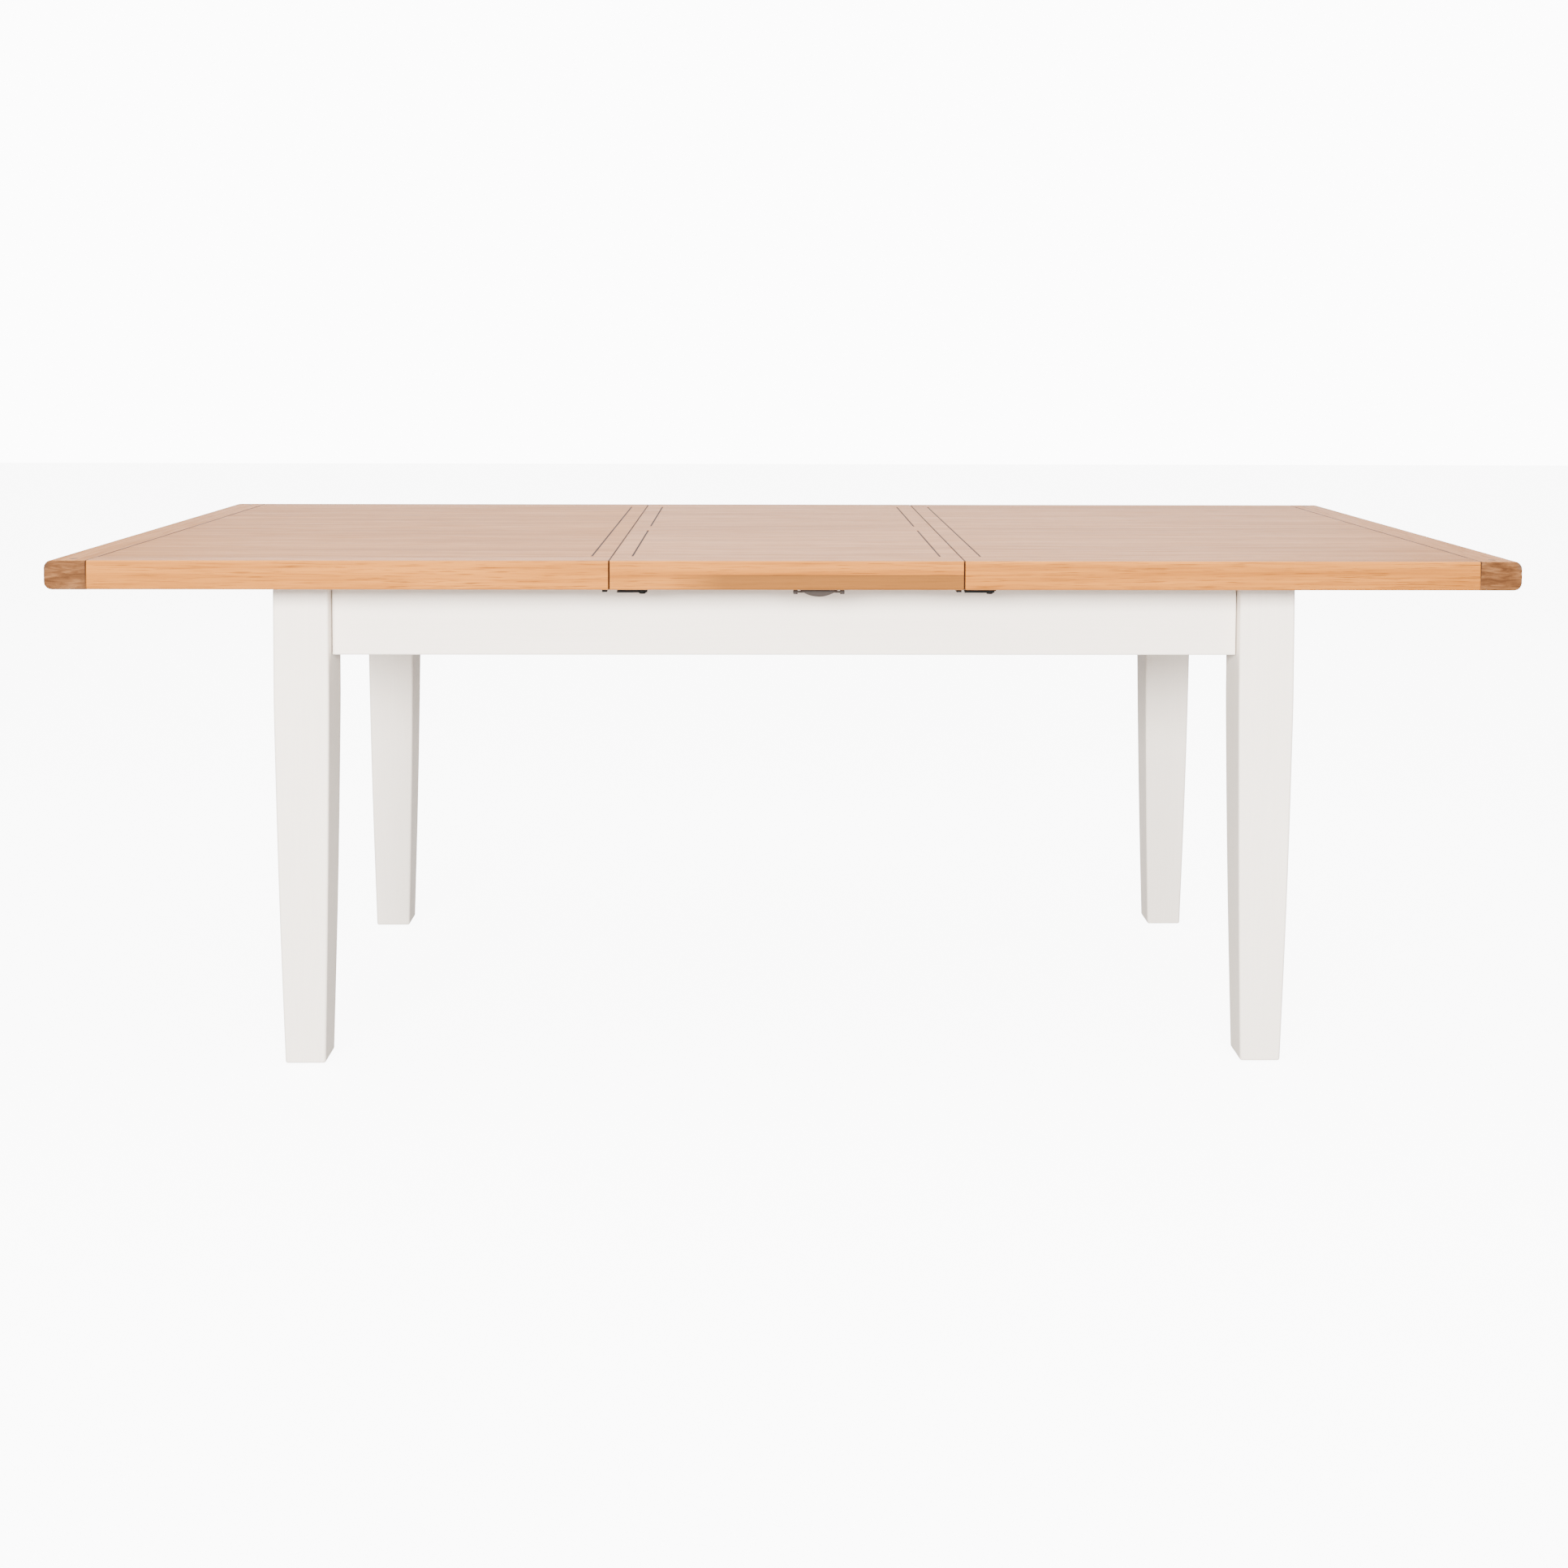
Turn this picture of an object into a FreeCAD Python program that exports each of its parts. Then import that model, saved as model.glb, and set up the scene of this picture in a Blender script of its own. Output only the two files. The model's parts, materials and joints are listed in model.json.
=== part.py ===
import FreeCAD, Part
import os
import re

document = FreeCAD.newDocument("ExtendingTable")

# Millimetres and degrees. Origin on the floor under the middle of the table,
# X along the length, Y from front (negative) to back, Z up.
sizeValues = {
    "tableLength": 2100, "tableWidth": 950, "tableHeight": 770, "leafOpening": 506,
    "edgeThickness": 42, "panelThickness": 22, "lippingWidth": 45, "breadboardWidth": 60,
    "seamGap": 0.75, "midGap": 0.5, "frameGap": 1.5,
    "frameLength": 1512, "frameWidth": 740,
    "legTopWidth": 82, "legFootWidth": 60, "legStraightFrom": 540,
    "apronBottom": 615, "apronThickness": 22, "apronSetback": 18, "apronRounding": 2,
    "grooveInset": 29, "grooveWidth": 2.4, "grooveDepth": 1.6, "grooveStop": 58, "midStop": 36,
    "edgeRounding": 2, "endRounding": 11,
    "guideThickness": 28, "guideHeight": 66, "guideSlotHeight": 14, "guideSlotDepth": 13,
    "runnerWidth": 24, "runnerBottomLift": 3.5, "tongueHeight": 12, "tongueDepth": 12,
    "slideClearance": 1, "slideTravel": 60,
    "guideScrewSpacing": 420, "guideScrewDiameter": 5, "guideScrewHead": 9.4, "guideScrewLift": 14,
    "guideScrewBite": 12, "guideEndGap": 2,
    "cornerBlockReach": 130, "cornerBlockThickness": 34, "cornerBlockHeight": 38,
    "cornerBlockLift": 3, "cornerBlockGap": 3,
    "boltDiameter": 8, "boltLength": 78, "boltLift": 22, "boltBite": 28,
    "washerDiameter": 20, "washerThickness": 1.6, "nutRadius": 7.5, "nutHeight": 6.5,
    "restBlockInset": 73, "restBlockLength": 60, "restBlockMargin": 2, "restGap": 0.3,
    "bearerWidth": 30, "bearerHeight": 40, "bearerClearance": 3.75, "bearerEndDrop": 5,
    "armLength": 130, "armAngle": 43, "armThickness": 6, "armWidth": 20, "armInset": 3.25,
    "armForeHold": 105, "armHoldSpacing": 180, "holdDrop": 45,
    "shaftDiameter": 12, "pinDiameter": 8, "turningClearance": 0.5,
    "carrierWidth": 12, "carrierHeight": 10, "carrierLugLength": 24, "carrierGap": 2,
    "glideDiameter": 24, "glideHeight": 3, "glideStemDiameter": 6, "glideStemLength": 15,
    "plugDiameter": 12, "plugInset": 35, "plugLength": 8,
    "latchPlateThickness": 2, "latchLeverLength": 44, "latchLeverWidth": 10,
    "latchLeverThickness": 3, "latchEdgeInset": 19, "keeperLength": 7,
    "pullWidth": 56, "pullCentre": 46, "pullDrop": 11.5, "pullThickness": 4, "pullClearance": 1.2,
    "pullAxisDrop": 4.6, "pullPinDiameter": 2.6, "pullPinLength": 9, "pullPostLength": 6,
}

sheet = document.addObject("Spreadsheet::Sheet", "Sizes")
sheet.Label = "Sizes"
for row, (sizeName, sizeValue) in enumerate(sizeValues.items(), start=1):
    sheet.set("A%d" % row, sizeName)
    sheet.set("B%d" % row, str(sizeValue))
    sheet.setAlias("B%d" % row, sizeName)
document.recompute()

aliasPattern = re.compile(r"\b(" + "|".join(sorted(sizeValues, key=len, reverse=True)) + r")\b")

# Heights and faces that many pieces share, written as formulas of the sizes.
panelUnder = "(tableHeight - panelThickness)"
edgeUnder = "(tableHeight - edgeThickness)"
frameTop = "(tableHeight - edgeThickness - frameGap)"
halfSeam = "(leafOpening / 2)"
leafEdge = "(leafOpening / 2 - seamGap)"
panelEnd = "(tableLength / 2 - breadboardWidth)"
frontEdge = "(tableWidth / 2)"
lippingInner = "(tableWidth / 2 - lippingWidth)"
legInnerX = "(frameLength / 2 - legTopWidth)"
legInnerY = "(frameWidth / 2 - legTopWidth)"
apronInnerX = "(frameLength / 2 - apronSetback - apronThickness)"
apronInnerY = "(frameWidth / 2 - apronSetback - apronThickness)"
guideBottom = "(tableHeight - edgeThickness - frameGap - guideHeight)"
guideInnerY = "(frameWidth / 2 - apronSetback - apronThickness - guideThickness)"
slotMiddle = "(tableHeight - edgeThickness - frameGap - guideHeight / 2)"
bearerInner = "(leafOpening / 2 - seamGap + bearerClearance)"
armOuterX = "(leafOpening / 2 - seamGap - armInset)"
armInnerX = "(leafOpening / 2 - seamGap - armInset - armThickness)"
carrierOuterX = "(leafOpening / 2 - seamGap - armInset - armThickness - carrierGap)"
holdHeight = "(tableHeight - holdDrop)"
pivotHeight = "(tableHeight - holdDrop - armLength * sin(armAngle))"
bearerBottom = "(tableHeight - holdDrop - armLength * sin(armAngle) - bearerHeight / 2)"
foreHold = "armForeHold"
aftHold = "(armForeHold + armHoldSpacing)"
foreReach = "(armForeHold - armLength * cos(armAngle))"
aftReach = "(armForeHold + armHoldSpacing - armLength * cos(armAngle))"
latchMiddleY = "(tableWidth / 2 - latchEdgeInset)"
screwHeight = "(%s + guideScrewLift)" % guideBottom
boltHeight = "(apronBottom + boltLift)"

alongX = FreeCAD.Rotation(FreeCAD.Vector(0, 1, 0), 90)
alongY = FreeCAD.Rotation(FreeCAD.Vector(1, 0, 0), -90)
upright = FreeCAD.Rotation()

nodes = {}


def formula(text):
    return aliasPattern.sub(r"Sizes.\1", str(text))


def bind(item, propertyName, text):
    item.setExpression(propertyName, formula(text))


def side(sign, low, high):
    """Returns the two limits of a span on the positive or the negative side of an axis."""
    if sign > 0:
        return low, high
    return "-(%s)" % high, "-(%s)" % low


def signed(sign, text):
    return str(text) if sign > 0 else "-(%s)" % text


def place(item, rotation, x, y, z):
    item.Placement = FreeCAD.Placement(FreeCAD.Vector(0, 0, 0), rotation)
    bind(item, "Placement.Base.x", x)
    bind(item, "Placement.Base.y", y)
    bind(item, "Placement.Base.z", z)


def newBody(name):
    body = document.addObject("PartDesign::Body", name)
    body.Label = name
    nodes[name] = body
    return body


def addBox(body, kind, spanX, spanY, spanZ):
    item = body.newObject("PartDesign::%sBox" % kind, "%s_box" % body.Label)
    bind(item, "Length", "(%s) - (%s)" % (spanX[1], spanX[0]))
    bind(item, "Width", "(%s) - (%s)" % (spanY[1], spanY[0]))
    bind(item, "Height", "(%s) - (%s)" % (spanZ[1], spanZ[0]))
    place(item, upright, spanX[0], spanY[0], spanZ[0])
    body.Tip = item
    return item


def addRod(body, kind, rotation, diameter, length, x, y, z):
    item = body.newObject("PartDesign::%sCylinder" % kind, "%s_rod" % body.Label)
    bind(item, "Radius", "(%s) / 2" % diameter)
    bind(item, "Height", length)
    place(item, rotation, x, y, z)
    body.Tip = item
    return item


def roundEdges(body, radius, chooser):
    """Rounds the straight edges of the body that the chooser picks by their end points."""
    document.recompute()
    source = body.Tip
    names = []
    for number, edge in enumerate(source.Shape.Edges, start=1):
        if len(edge.Vertexes) == 2 and chooser(edge.Vertexes[0].Point, edge.Vertexes[1].Point):
            names.append("Edge%d" % number)
    item = body.newObject("PartDesign::Fillet", "%s_rounding" % body.Label)
    item.Base = (source, names)
    bind(item, "Radius", radius)
    body.Tip = item
    return item


def slab(name, spanX, spanY, spanZ):
    body = newBody(name)
    addBox(body, "Additive", spanX, spanY, spanZ)
    return body


def looseBox(spanX, spanY, spanZ):
    item = document.addObject("Part::Box", "groupBox")
    bind(item, "Length", "(%s) - (%s)" % (spanX[1], spanX[0]))
    bind(item, "Width", "(%s) - (%s)" % (spanY[1], spanY[0]))
    bind(item, "Height", "(%s) - (%s)" % (spanZ[1], spanZ[0]))
    place(item, upright, spanX[0], spanY[0], spanZ[0])
    return item


def looseRod(rotation, diameter, length, x, y, z):
    item = document.addObject("Part::Cylinder", "groupRod")
    bind(item, "Radius", "(%s) / 2" % diameter)
    bind(item, "Height", length)
    place(item, rotation, x, y, z)
    return item


def join(items):
    item = document.addObject("Part::MultiFuse", "joined")
    item.Shapes = items
    return item


def carve(base, tool):
    item = document.addObject("Part::Cut", "carved")
    item.Base = base
    item.Tool = tool
    return item


def group(name, items):
    item = document.addObject("Part::Compound", name)
    item.Label = name
    item.Links = items
    nodes[name] = item
    return item


def alongAxis(axisIndex, tolerance=0.01):
    """Gives a chooser for edges that run parallel to one axis."""
    def chooser(start, end):
        step = end - start
        others = [abs(step[index]) for index in range(3) if index != axisIndex]
        return abs(step[axisIndex]) > 5 and max(others) < tolerance
    return chooser


def size(name):
    return float(sheet.get(name))


def makeLeg(name, signX, signY):
    body = newBody(name)
    top = body.newObject("PartDesign::AdditiveBox", "%s_head" % name)
    bind(top, "Length", "legTopWidth")
    bind(top, "Width", "legTopWidth")
    bind(top, "Height", "%s - legStraightFrom" % frameTop)
    lowX = side(signX, legInnerX, "frameLength / 2")[0]
    lowY = side(signY, legInnerY, "frameWidth / 2")[0]
    place(top, upright, lowX, lowY, "legStraightFrom")
    taper = body.newObject("PartDesign::AdditiveWedge", "%s_taper" % name)
    shrink = "((legTopWidth - legFootWidth) / 2)"
    bind(taper, "Xmin", 0)
    bind(taper, "Xmax", "legTopWidth")
    bind(taper, "Zmin", 0)
    bind(taper, "Zmax", "legTopWidth")
    bind(taper, "Ymin", 0)
    bind(taper, "Ymax", "legStraightFrom - glideHeight")
    bind(taper, "X2min", shrink)
    bind(taper, "X2max", "legTopWidth - %s" % shrink)
    bind(taper, "Z2min", shrink)
    bind(taper, "Z2max", "legTopWidth - %s" % shrink)
    place(taper, FreeCAD.Rotation(FreeCAD.Vector(1, 0, 0), -90), lowX, lowY, "legStraightFrom")
    body.Tip = taper
    # Pilot bore for the corner bolt and socket for the glide stem.
    middleX = signed(signX, "(frameLength / 2 - legTopWidth / 2)")
    middleY = signed(signY, "(frameWidth / 2 - legTopWidth / 2)")
    addRod(body, "Subtractive", upright, "glideStemDiameter + 0.4", "glideStemLength + 1", middleX, middleY,
           "glideHeight")
    turn = FreeCAD.Rotation(FreeCAD.Vector(0, 0, 1), FreeCAD.Vector(signX, signY, 0))
    addRod(body, "Subtractive", turn, "boltDiameter", 40,
           signed(signX, "(%s - 4)" % legInnerX), signed(signY, "(%s - 4)" % legInnerY),
           "apronBottom + boltLift")
    return body


def makeLongApron(name, signY):
    spanX = ("-(%s)" % legInnerX, legInnerX)
    body = slab(name, spanX, side(signY, apronInnerY, "%s + apronThickness" % apronInnerY),
                ("apronBottom", frameTop))
    outerY = size("frameWidth") / 2 - size("apronSetback")
    roundEdges(body, "apronRounding", lambda start, end: alongAxis(0)(start, end)
               and abs(start.z - size("apronBottom")) < 0.1 and abs(abs(start.y) - outerY) < 0.1)
    for step in (-1, 0, 1):
        low = side(signY, "%s - 1" % apronInnerY, "%s + guideScrewBite" % apronInnerY)[0]
        addRod(body, "Subtractive", alongY, "guideScrewDiameter", "guideScrewBite + 1",
               "%d * guideScrewSpacing" % step, low, screwHeight)
    return body


def makeEndApron(name, signX):
    spanY = ("-(%s)" % legInnerY, legInnerY)
    body = slab(name, side(signX, apronInnerX, "%s + apronThickness" % apronInnerX), spanY,
                ("apronBottom", frameTop))
    outerX = size("frameLength") / 2 - size("apronSetback")
    roundEdges(body, "apronRounding", lambda start, end: alongAxis(1)(start, end)
               and abs(start.z - size("apronBottom")) < 0.1 and abs(abs(start.x) - outerX) < 0.1)
    return body


def makeGuideRail(name, signY):
    """Rail with one slot facing the middle of the table, screwed to a long apron."""
    length = "(%s - guideEndGap)" % legInnerX
    body = slab(name, ("-%s" % length, length), side(signY, guideInnerY, apronInnerY),
                (guideBottom, frameTop))
    addBox(body, "Subtractive", ("-%s - 1" % length, "%s + 1" % length),
           side(signY, "%s - 1" % guideInnerY, "%s + guideSlotDepth" % guideInnerY),
           ("%s - guideSlotHeight / 2" % slotMiddle, "%s + guideSlotHeight / 2" % slotMiddle))
    for step in (-1, 0, 1):
        middle = "%d * guideScrewSpacing" % step
        low = side(signY, "%s - 1" % guideInnerY, "%s + 1" % apronInnerY)[0]
        addRod(body, "Subtractive", alongY, "guideScrewDiameter", "guideThickness + 2", middle, low, screwHeight)
        low = side(signY, "%s - 1" % guideInnerY, "%s + 3" % guideInnerY)[0]
        addRod(body, "Subtractive", alongY, "guideScrewHead + 0.6", 4, middle, low, screwHeight)
    return body


def makeGuideScrews(name):
    """Six screws, heads sunk in the rails, points in the aprons."""
    screws = []
    for signY in (-1, 1):
        shankLow = side(signY, "%s + 0.5" % guideInnerY, "%s + guideScrewBite" % apronInnerY)[0]
        headLow = side(signY, "%s + 0.5" % guideInnerY, "%s + 3" % guideInnerY)[0]
        for step in (-1, 0, 1):
            middle = "%d * guideScrewSpacing" % step
            shank = looseRod(alongY, "guideScrewDiameter", "guideThickness + guideScrewBite - 0.5", middle,
                             shankLow, screwHeight)
            head = looseRod(alongY, "guideScrewHead", 2.5, middle, headLow, screwHeight)
            screws.append(join([shank, head]))
    return group(name, screws)


def makeBearer(name, signX):
    """Cross member between the long aprons that carries the pivots of the leaf arms."""
    body = slab(name, side(signX, bearerInner, "%s + bearerWidth" % bearerInner),
                ("-(%s)" % apronInnerY, apronInnerY),
                (bearerBottom, "%s + bearerHeight" % bearerBottom))
    # Both ends are rebated where they pass under the guide rails and the runners.
    for signY in (-1, 1):
        addBox(body, "Subtractive", side(signX, "%s - 1" % bearerInner, "%s + bearerWidth + 1" % bearerInner),
               side(signY, "%s - slideClearance - runnerWidth - 4" % guideInnerY, "%s + 1" % apronInnerY),
               ("%s - bearerEndDrop" % guideBottom, "%s + bearerEndDrop + guideHeight" % guideBottom))
    low = side(signX, "%s - 1" % bearerInner, "%s + bearerWidth + 1" % bearerInner)[0]
    addRod(body, "Subtractive", alongX, "shaftDiameter + 2 * turningClearance", "bearerWidth + 2",
           low, foreReach, pivotHeight)
    addRod(body, "Subtractive", alongX, "pinDiameter", "bearerWidth + 2", low, aftReach, pivotHeight)
    return body


def makeCornerBlocks(name):
    """Four blocks set across the corners of the frame behind the legs."""
    blocks = []
    blockBottom = "(apronBottom + cornerBlockLift)"
    inward = "((cornerBlockGap + cornerBlockThickness) / sqrt(2))"
    aside = "(cornerBlockReach / sqrt(2))"
    for signX in (-1, 1):
        for signY in (-1, 1):
            corner = looseBox(side(signX, "%s - cornerBlockReach" % apronInnerX, apronInnerX),
                              side(signY, "%s - cornerBlockReach" % apronInnerY, apronInnerY),
                              (blockBottom, "%s + cornerBlockHeight" % blockBottom))
            # The strip lies square to the diagonal and stops a little short of the leg.
            strip = document.addObject("Part::Box", "cornerStrip")
            bind(strip, "Length", "cornerBlockThickness")
            bind(strip, "Width", "2 * cornerBlockReach")
            bind(strip, "Height", "cornerBlockHeight")
            turn = FreeCAD.Rotation(FreeCAD.Vector(1, 0, 0), FreeCAD.Vector(signX, signY, 0))
            place(strip, turn,
                  "%s + %d * %s" % (signed(signX, "(%s - %s)" % (legInnerX, inward)), signY, aside),
                  "%s - %d * %s" % (signed(signY, "(%s - %s)" % (legInnerY, inward)), signX, aside),
                  blockBottom)
            common = document.addObject("Part::MultiCommon", "cornerBlock")
            common.Shapes = [corner, strip]
            bore = looseRod(FreeCAD.Rotation(FreeCAD.Vector(0, 0, 1), FreeCAD.Vector(signX, signY, 0)),
                            "boltDiameter + 1", 120, signed(signX, "(%s - 60)" % legInnerX),
                            signed(signY, "(%s - 60)" % legInnerY), boltHeight)
            blocks.append(carve(common, bore))
    return group(name, blocks)


def makeCornerBolts(name):
    """Four hanger bolts with washer and nut, along the diagonals of the corners."""
    bolts = []
    for signX in (-1, 1):
        for signY in (-1, 1):
            turn = FreeCAD.Rotation(FreeCAD.Vector(0, 0, 1), FreeCAD.Vector(signX, signY, 0))
            def at(offset):
                step = "(%s) / sqrt(2)" % offset
                return (signed(signX, "(%s + %s)" % (legInnerX, step)),
                        signed(signY, "(%s + %s)" % (legInnerY, step)), boltHeight)
            blockFace = "(cornerBlockGap + cornerBlockThickness)"
            shank = looseRod(turn, "boltDiameter", "boltLength", *at("boltBite - boltLength"))
            washer = looseRod(turn, "washerDiameter", "washerThickness", *at("-%s - washerThickness" % blockFace))
            nut = document.addObject("Part::Prism", "boltNut")
            nut.Polygon = 6
            bind(nut, "Circumradius", "nutRadius")
            bind(nut, "Height", "nutHeight")
            place(nut, turn, *at("-%s - washerThickness - nutHeight" % blockFace))
            bolts.append(join([shank, washer, nut]))
    return group(name, bolts)


def makeFootGlides(name):
    glides = []
    for signX in (-1, 1):
        for signY in (-1, 1):
            middleX = signed(signX, "(frameLength / 2 - legTopWidth / 2)")
            middleY = signed(signY, "(frameWidth / 2 - legTopWidth / 2)")
            disc = looseRod(upright, "glideDiameter", "glideHeight", middleX, middleY, 0)
            stem = looseRod(upright, "glideStemDiameter", "glideHeight + glideStemLength", middleX, middleY, 0)
            glides.append(join([disc, stem]))
    return group(name, glides)


def makeRestBlocks(name):
    """Four blocks on the long aprons on which the leaf lies when it is in use."""
    blocks = []
    for signX in (-1, 1):
        for signY in (-1, 1):
            blocks.append(looseBox(side(signX, "%s - restBlockInset - restBlockLength" % halfSeam,
                                        "%s - restBlockInset" % halfSeam),
                                   side(signY, "%s + restBlockMargin" % apronInnerY,
                                        "%s + apronThickness - restBlockMargin" % apronInnerY),
                                   (frameTop, "%s - restGap" % panelUnder)))
    return group(name, blocks)


def makePanel(name, signX):
    """Veneered board of one half, with the stopped groove beside the seam."""
    body = slab(name, side(signX, halfSeam, panelEnd), ("-%s" % lippingInner, lippingInner),
                (panelUnder, "tableHeight"))
    depth = ("tableHeight - grooveDepth", "tableHeight + 1")
    stops = ("-(tableWidth / 2 - grooveStop)", "tableWidth / 2 - grooveStop")
    addBox(body, "Subtractive", side(signX, "%s + grooveInset - grooveWidth / 2" % halfSeam,
                                     "%s + grooveInset + grooveWidth / 2" % halfSeam), stops, depth)
    addBox(body, "Subtractive", side(signX, "%s - grooveWidth" % panelEnd, "%s + 1" % panelEnd),
           ("-%s - 1" % lippingInner, "%s + 1" % lippingInner), depth)
    return body


def makeBreadboard(name, signX):
    """Solid end board, grain across the table, with two sockets for the plugs."""
    body = slab(name, side(signX, panelEnd, "tableLength / 2"), ("-%s" % frontEdge, frontEdge),
                (edgeUnder, "tableHeight"))
    endX = size("tableLength") / 2
    edgeY = size("tableWidth") / 2

    roundEdges(body, "endRounding", lambda start, end: alongAxis(1)(start, end)
               and abs(abs(start.x) - endX) < 0.1)
    roundEdges(body, "edgeRounding", lambda start, end: alongAxis(0)(start, end)
               and abs(abs(start.y) - edgeY) < 0.1)
    for signY in (-1, 1):
        addRod(body, "Subtractive", upright, "plugDiameter", "plugLength + 2",
               signed(signX, "(tableLength / 2 - plugInset)"),
               signed(signY, "(tableWidth / 2 - lippingWidth / 2)"), "tableHeight - plugLength")
    return body


def makePlugs(name, signX):
    plugs = []
    for signY in (-1, 1):
        plugs.append(looseRod(upright, "plugDiameter - 0.2", "plugLength",
                              signed(signX, "(tableLength / 2 - plugInset)"),
                              signed(signY, "(tableWidth / 2 - lippingWidth / 2)"), "tableHeight - plugLength"))
    return group(name, plugs)


def makeLipping(name, spanX, signY):
    """Solid edge of the top, rounded at its two long outer arrises."""
    body = slab(name, spanX, side(signY, lippingInner, frontEdge), (edgeUnder, "tableHeight"))
    edgeY = size("tableWidth") / 2
    roundEdges(body, "edgeRounding", lambda start, end: alongAxis(0)(start, end)
               and abs(abs(start.y) - edgeY) < 0.1)
    return body


def makeRunner(name, signX, signY):
    """Slide under one half: a deep bar whose tongue rides in the slot of the guide rail."""
    spanX = side(signX, "%s + 3" % halfSeam, "%s - slideTravel - 2" % legInnerX)
    face = "(%s - slideClearance)" % guideInnerY
    body = slab(name, spanX, side(signY, "%s - runnerWidth" % face, face),
                ("%s + runnerBottomLift" % guideBottom, panelUnder))
    addBox(body, "Additive", spanX, side(signY, "%s - 1" % face, "%s + tongueDepth" % face),
           ("%s - tongueHeight / 2" % slotMiddle, "%s + tongueHeight / 2" % slotMiddle))
    return body


def makeLeafPanel(name, signY):
    """One wing of the leaf, with a stopped groove beside each seam and hinge sockets."""
    body = slab(name, ("-%s" % leafEdge, leafEdge), side(signY, "midGap / 2", lippingInner),
                (panelUnder, "tableHeight"))
    depth = ("tableHeight - grooveDepth", "tableHeight + 1")
    for signX in (-1, 1):
        addBox(body, "Subtractive",
               side(signX, "%s - grooveInset - grooveWidth / 2" % leafEdge,
                    "%s - grooveInset + grooveWidth / 2" % leafEdge),
               side(signY, "midStop", "tableWidth / 2 - grooveStop"), depth)
    for spot in (-170, 0, 170):
        low = side(signY, "midGap / 2 - 1", "midGap / 2 + 16")[0]
        addRod(body, "Subtractive", alongY, 14, 17, spot, low, "tableHeight - panelThickness / 2")
    for signX in (-1, 1):
        for spot in (45, 135):
            if signY > 0:
                addRod(body, "Subtractive", upright, 4, 13,
                       signed(signX, "(%s - carrierWidth / 2)" % carrierOuterX),
                       "%s + %d" % (foreHold, spot), "%s - 1" % panelUnder)
    return body


def makeHingeBarrels(name, signY):
    """Halves of three barrel hinges sunk in the mid edge of one wing."""
    barrels = []
    for spot in (-170, 0, 170):
        low = side(signY, "midGap / 2 + 0.3", "midGap / 2 + 16")[0]
        barrels.append(looseRod(alongY, 13.8, 15.7, spot, low, "tableHeight - panelThickness / 2"))
    return group(name, barrels)


def makeCarrier(name, signX):
    """Bar under the back wing with two lugs for the arms."""
    spanX = side(signX, "%s - carrierWidth" % carrierOuterX, carrierOuterX)
    body = slab(name, spanX, ("%s - 20" % foreHold, "%s + 20" % aftHold),
                ("%s - carrierHeight" % panelUnder, panelUnder))
    low = side(signX, "%s - carrierWidth - 1" % carrierOuterX, "%s + 1" % carrierOuterX)[0]
    for hold in (foreHold, aftHold):
        addBox(body, "Additive", spanX, ("%s - carrierLugLength / 2" % hold,
                                         "%s + carrierLugLength / 2" % hold),
               ("%s - 10" % holdHeight, "%s - carrierHeight + 1" % panelUnder))
    for hold in (foreHold, aftHold):
        addRod(body, "Subtractive", alongX, "pinDiameter", "carrierWidth + 2", low, hold, holdHeight)
    for spot in (45, 135):
        middle = signed(signX, "(%s - carrierWidth / 2)" % carrierOuterX)
        addRod(body, "Subtractive", upright, 4, "carrierHeight + 2", middle,
               "%s + %d" % (foreHold, spot), "%s - carrierHeight - 1" % panelUnder)
    return body


def makeCarrierScrews(name):
    screws = []
    for signX in (-1, 1):
        for spot in (45, 135):
            middle = signed(signX, "(%s - carrierWidth / 2)" % carrierOuterX)
            shank = looseRod(upright, 4, "carrierHeight + 12", middle, "%s + %d" % (foreHold, spot),
                             "%s - carrierHeight" % panelUnder)
            head = looseRod(upright, 8, 2, middle, "%s + %d" % (foreHold, spot),
                            "%s - carrierHeight - 2" % panelUnder)
            screws.append(join([shank, head]))
    return group(name, screws)


def makeCarrierPins(name):
    """Pins fixed in the carrier lugs on which the arms turn."""
    pins = []
    for signX in (-1, 1):
        for hold in (foreHold, aftHold):
            low = side(signX, "%s - carrierWidth" % carrierOuterX, "%s + 1" % armOuterX)[0]
            pins.append(looseRod(alongX, "pinDiameter",
                                 "carrierWidth + carrierGap + armThickness + 1", low, hold, holdHeight))
    return group(name, pins)


def makeArm(name, signX, hold, reach, lowerBore):
    """Flat link from a pivot in the bearer up to a lug of the carrier."""
    body = newBody(name)
    low = side(signX, armInnerX, armOuterX)[0]
    bar = body.newObject("PartDesign::AdditiveBox", "%s_bar" % name)
    bind(bar, "Length", "armThickness")
    bind(bar, "Width", "armLength")
    bind(bar, "Height", "armWidth")
    bar.Placement = FreeCAD.Placement(FreeCAD.Vector(0, 0, 0),
                                      FreeCAD.Rotation(FreeCAD.Vector(1, 0, 0), size("armAngle")))
    bind(bar, "Placement.Rotation.Angle", "armAngle")
    bind(bar, "Placement.Base.x", low)
    bind(bar, "Placement.Base.y", "%s + armWidth / 2 * sin(armAngle)" % reach)
    bind(bar, "Placement.Base.z", "%s - armWidth / 2 * cos(armAngle)" % pivotHeight)
    addRod(body, "Additive", alongX, "armWidth", "armThickness", low, reach, pivotHeight)
    addRod(body, "Additive", alongX, "armWidth", "armThickness", low, hold, holdHeight)
    below = side(signX, "%s - 1" % armInnerX, "%s + 1" % armOuterX)[0]
    addRod(body, "Subtractive", alongX, lowerBore, "armThickness + 2", below, reach, pivotHeight)
    addRod(body, "Subtractive", alongX, "pinDiameter + 2 * turningClearance", "armThickness + 2",
           below, hold, holdHeight)
    return body


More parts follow.
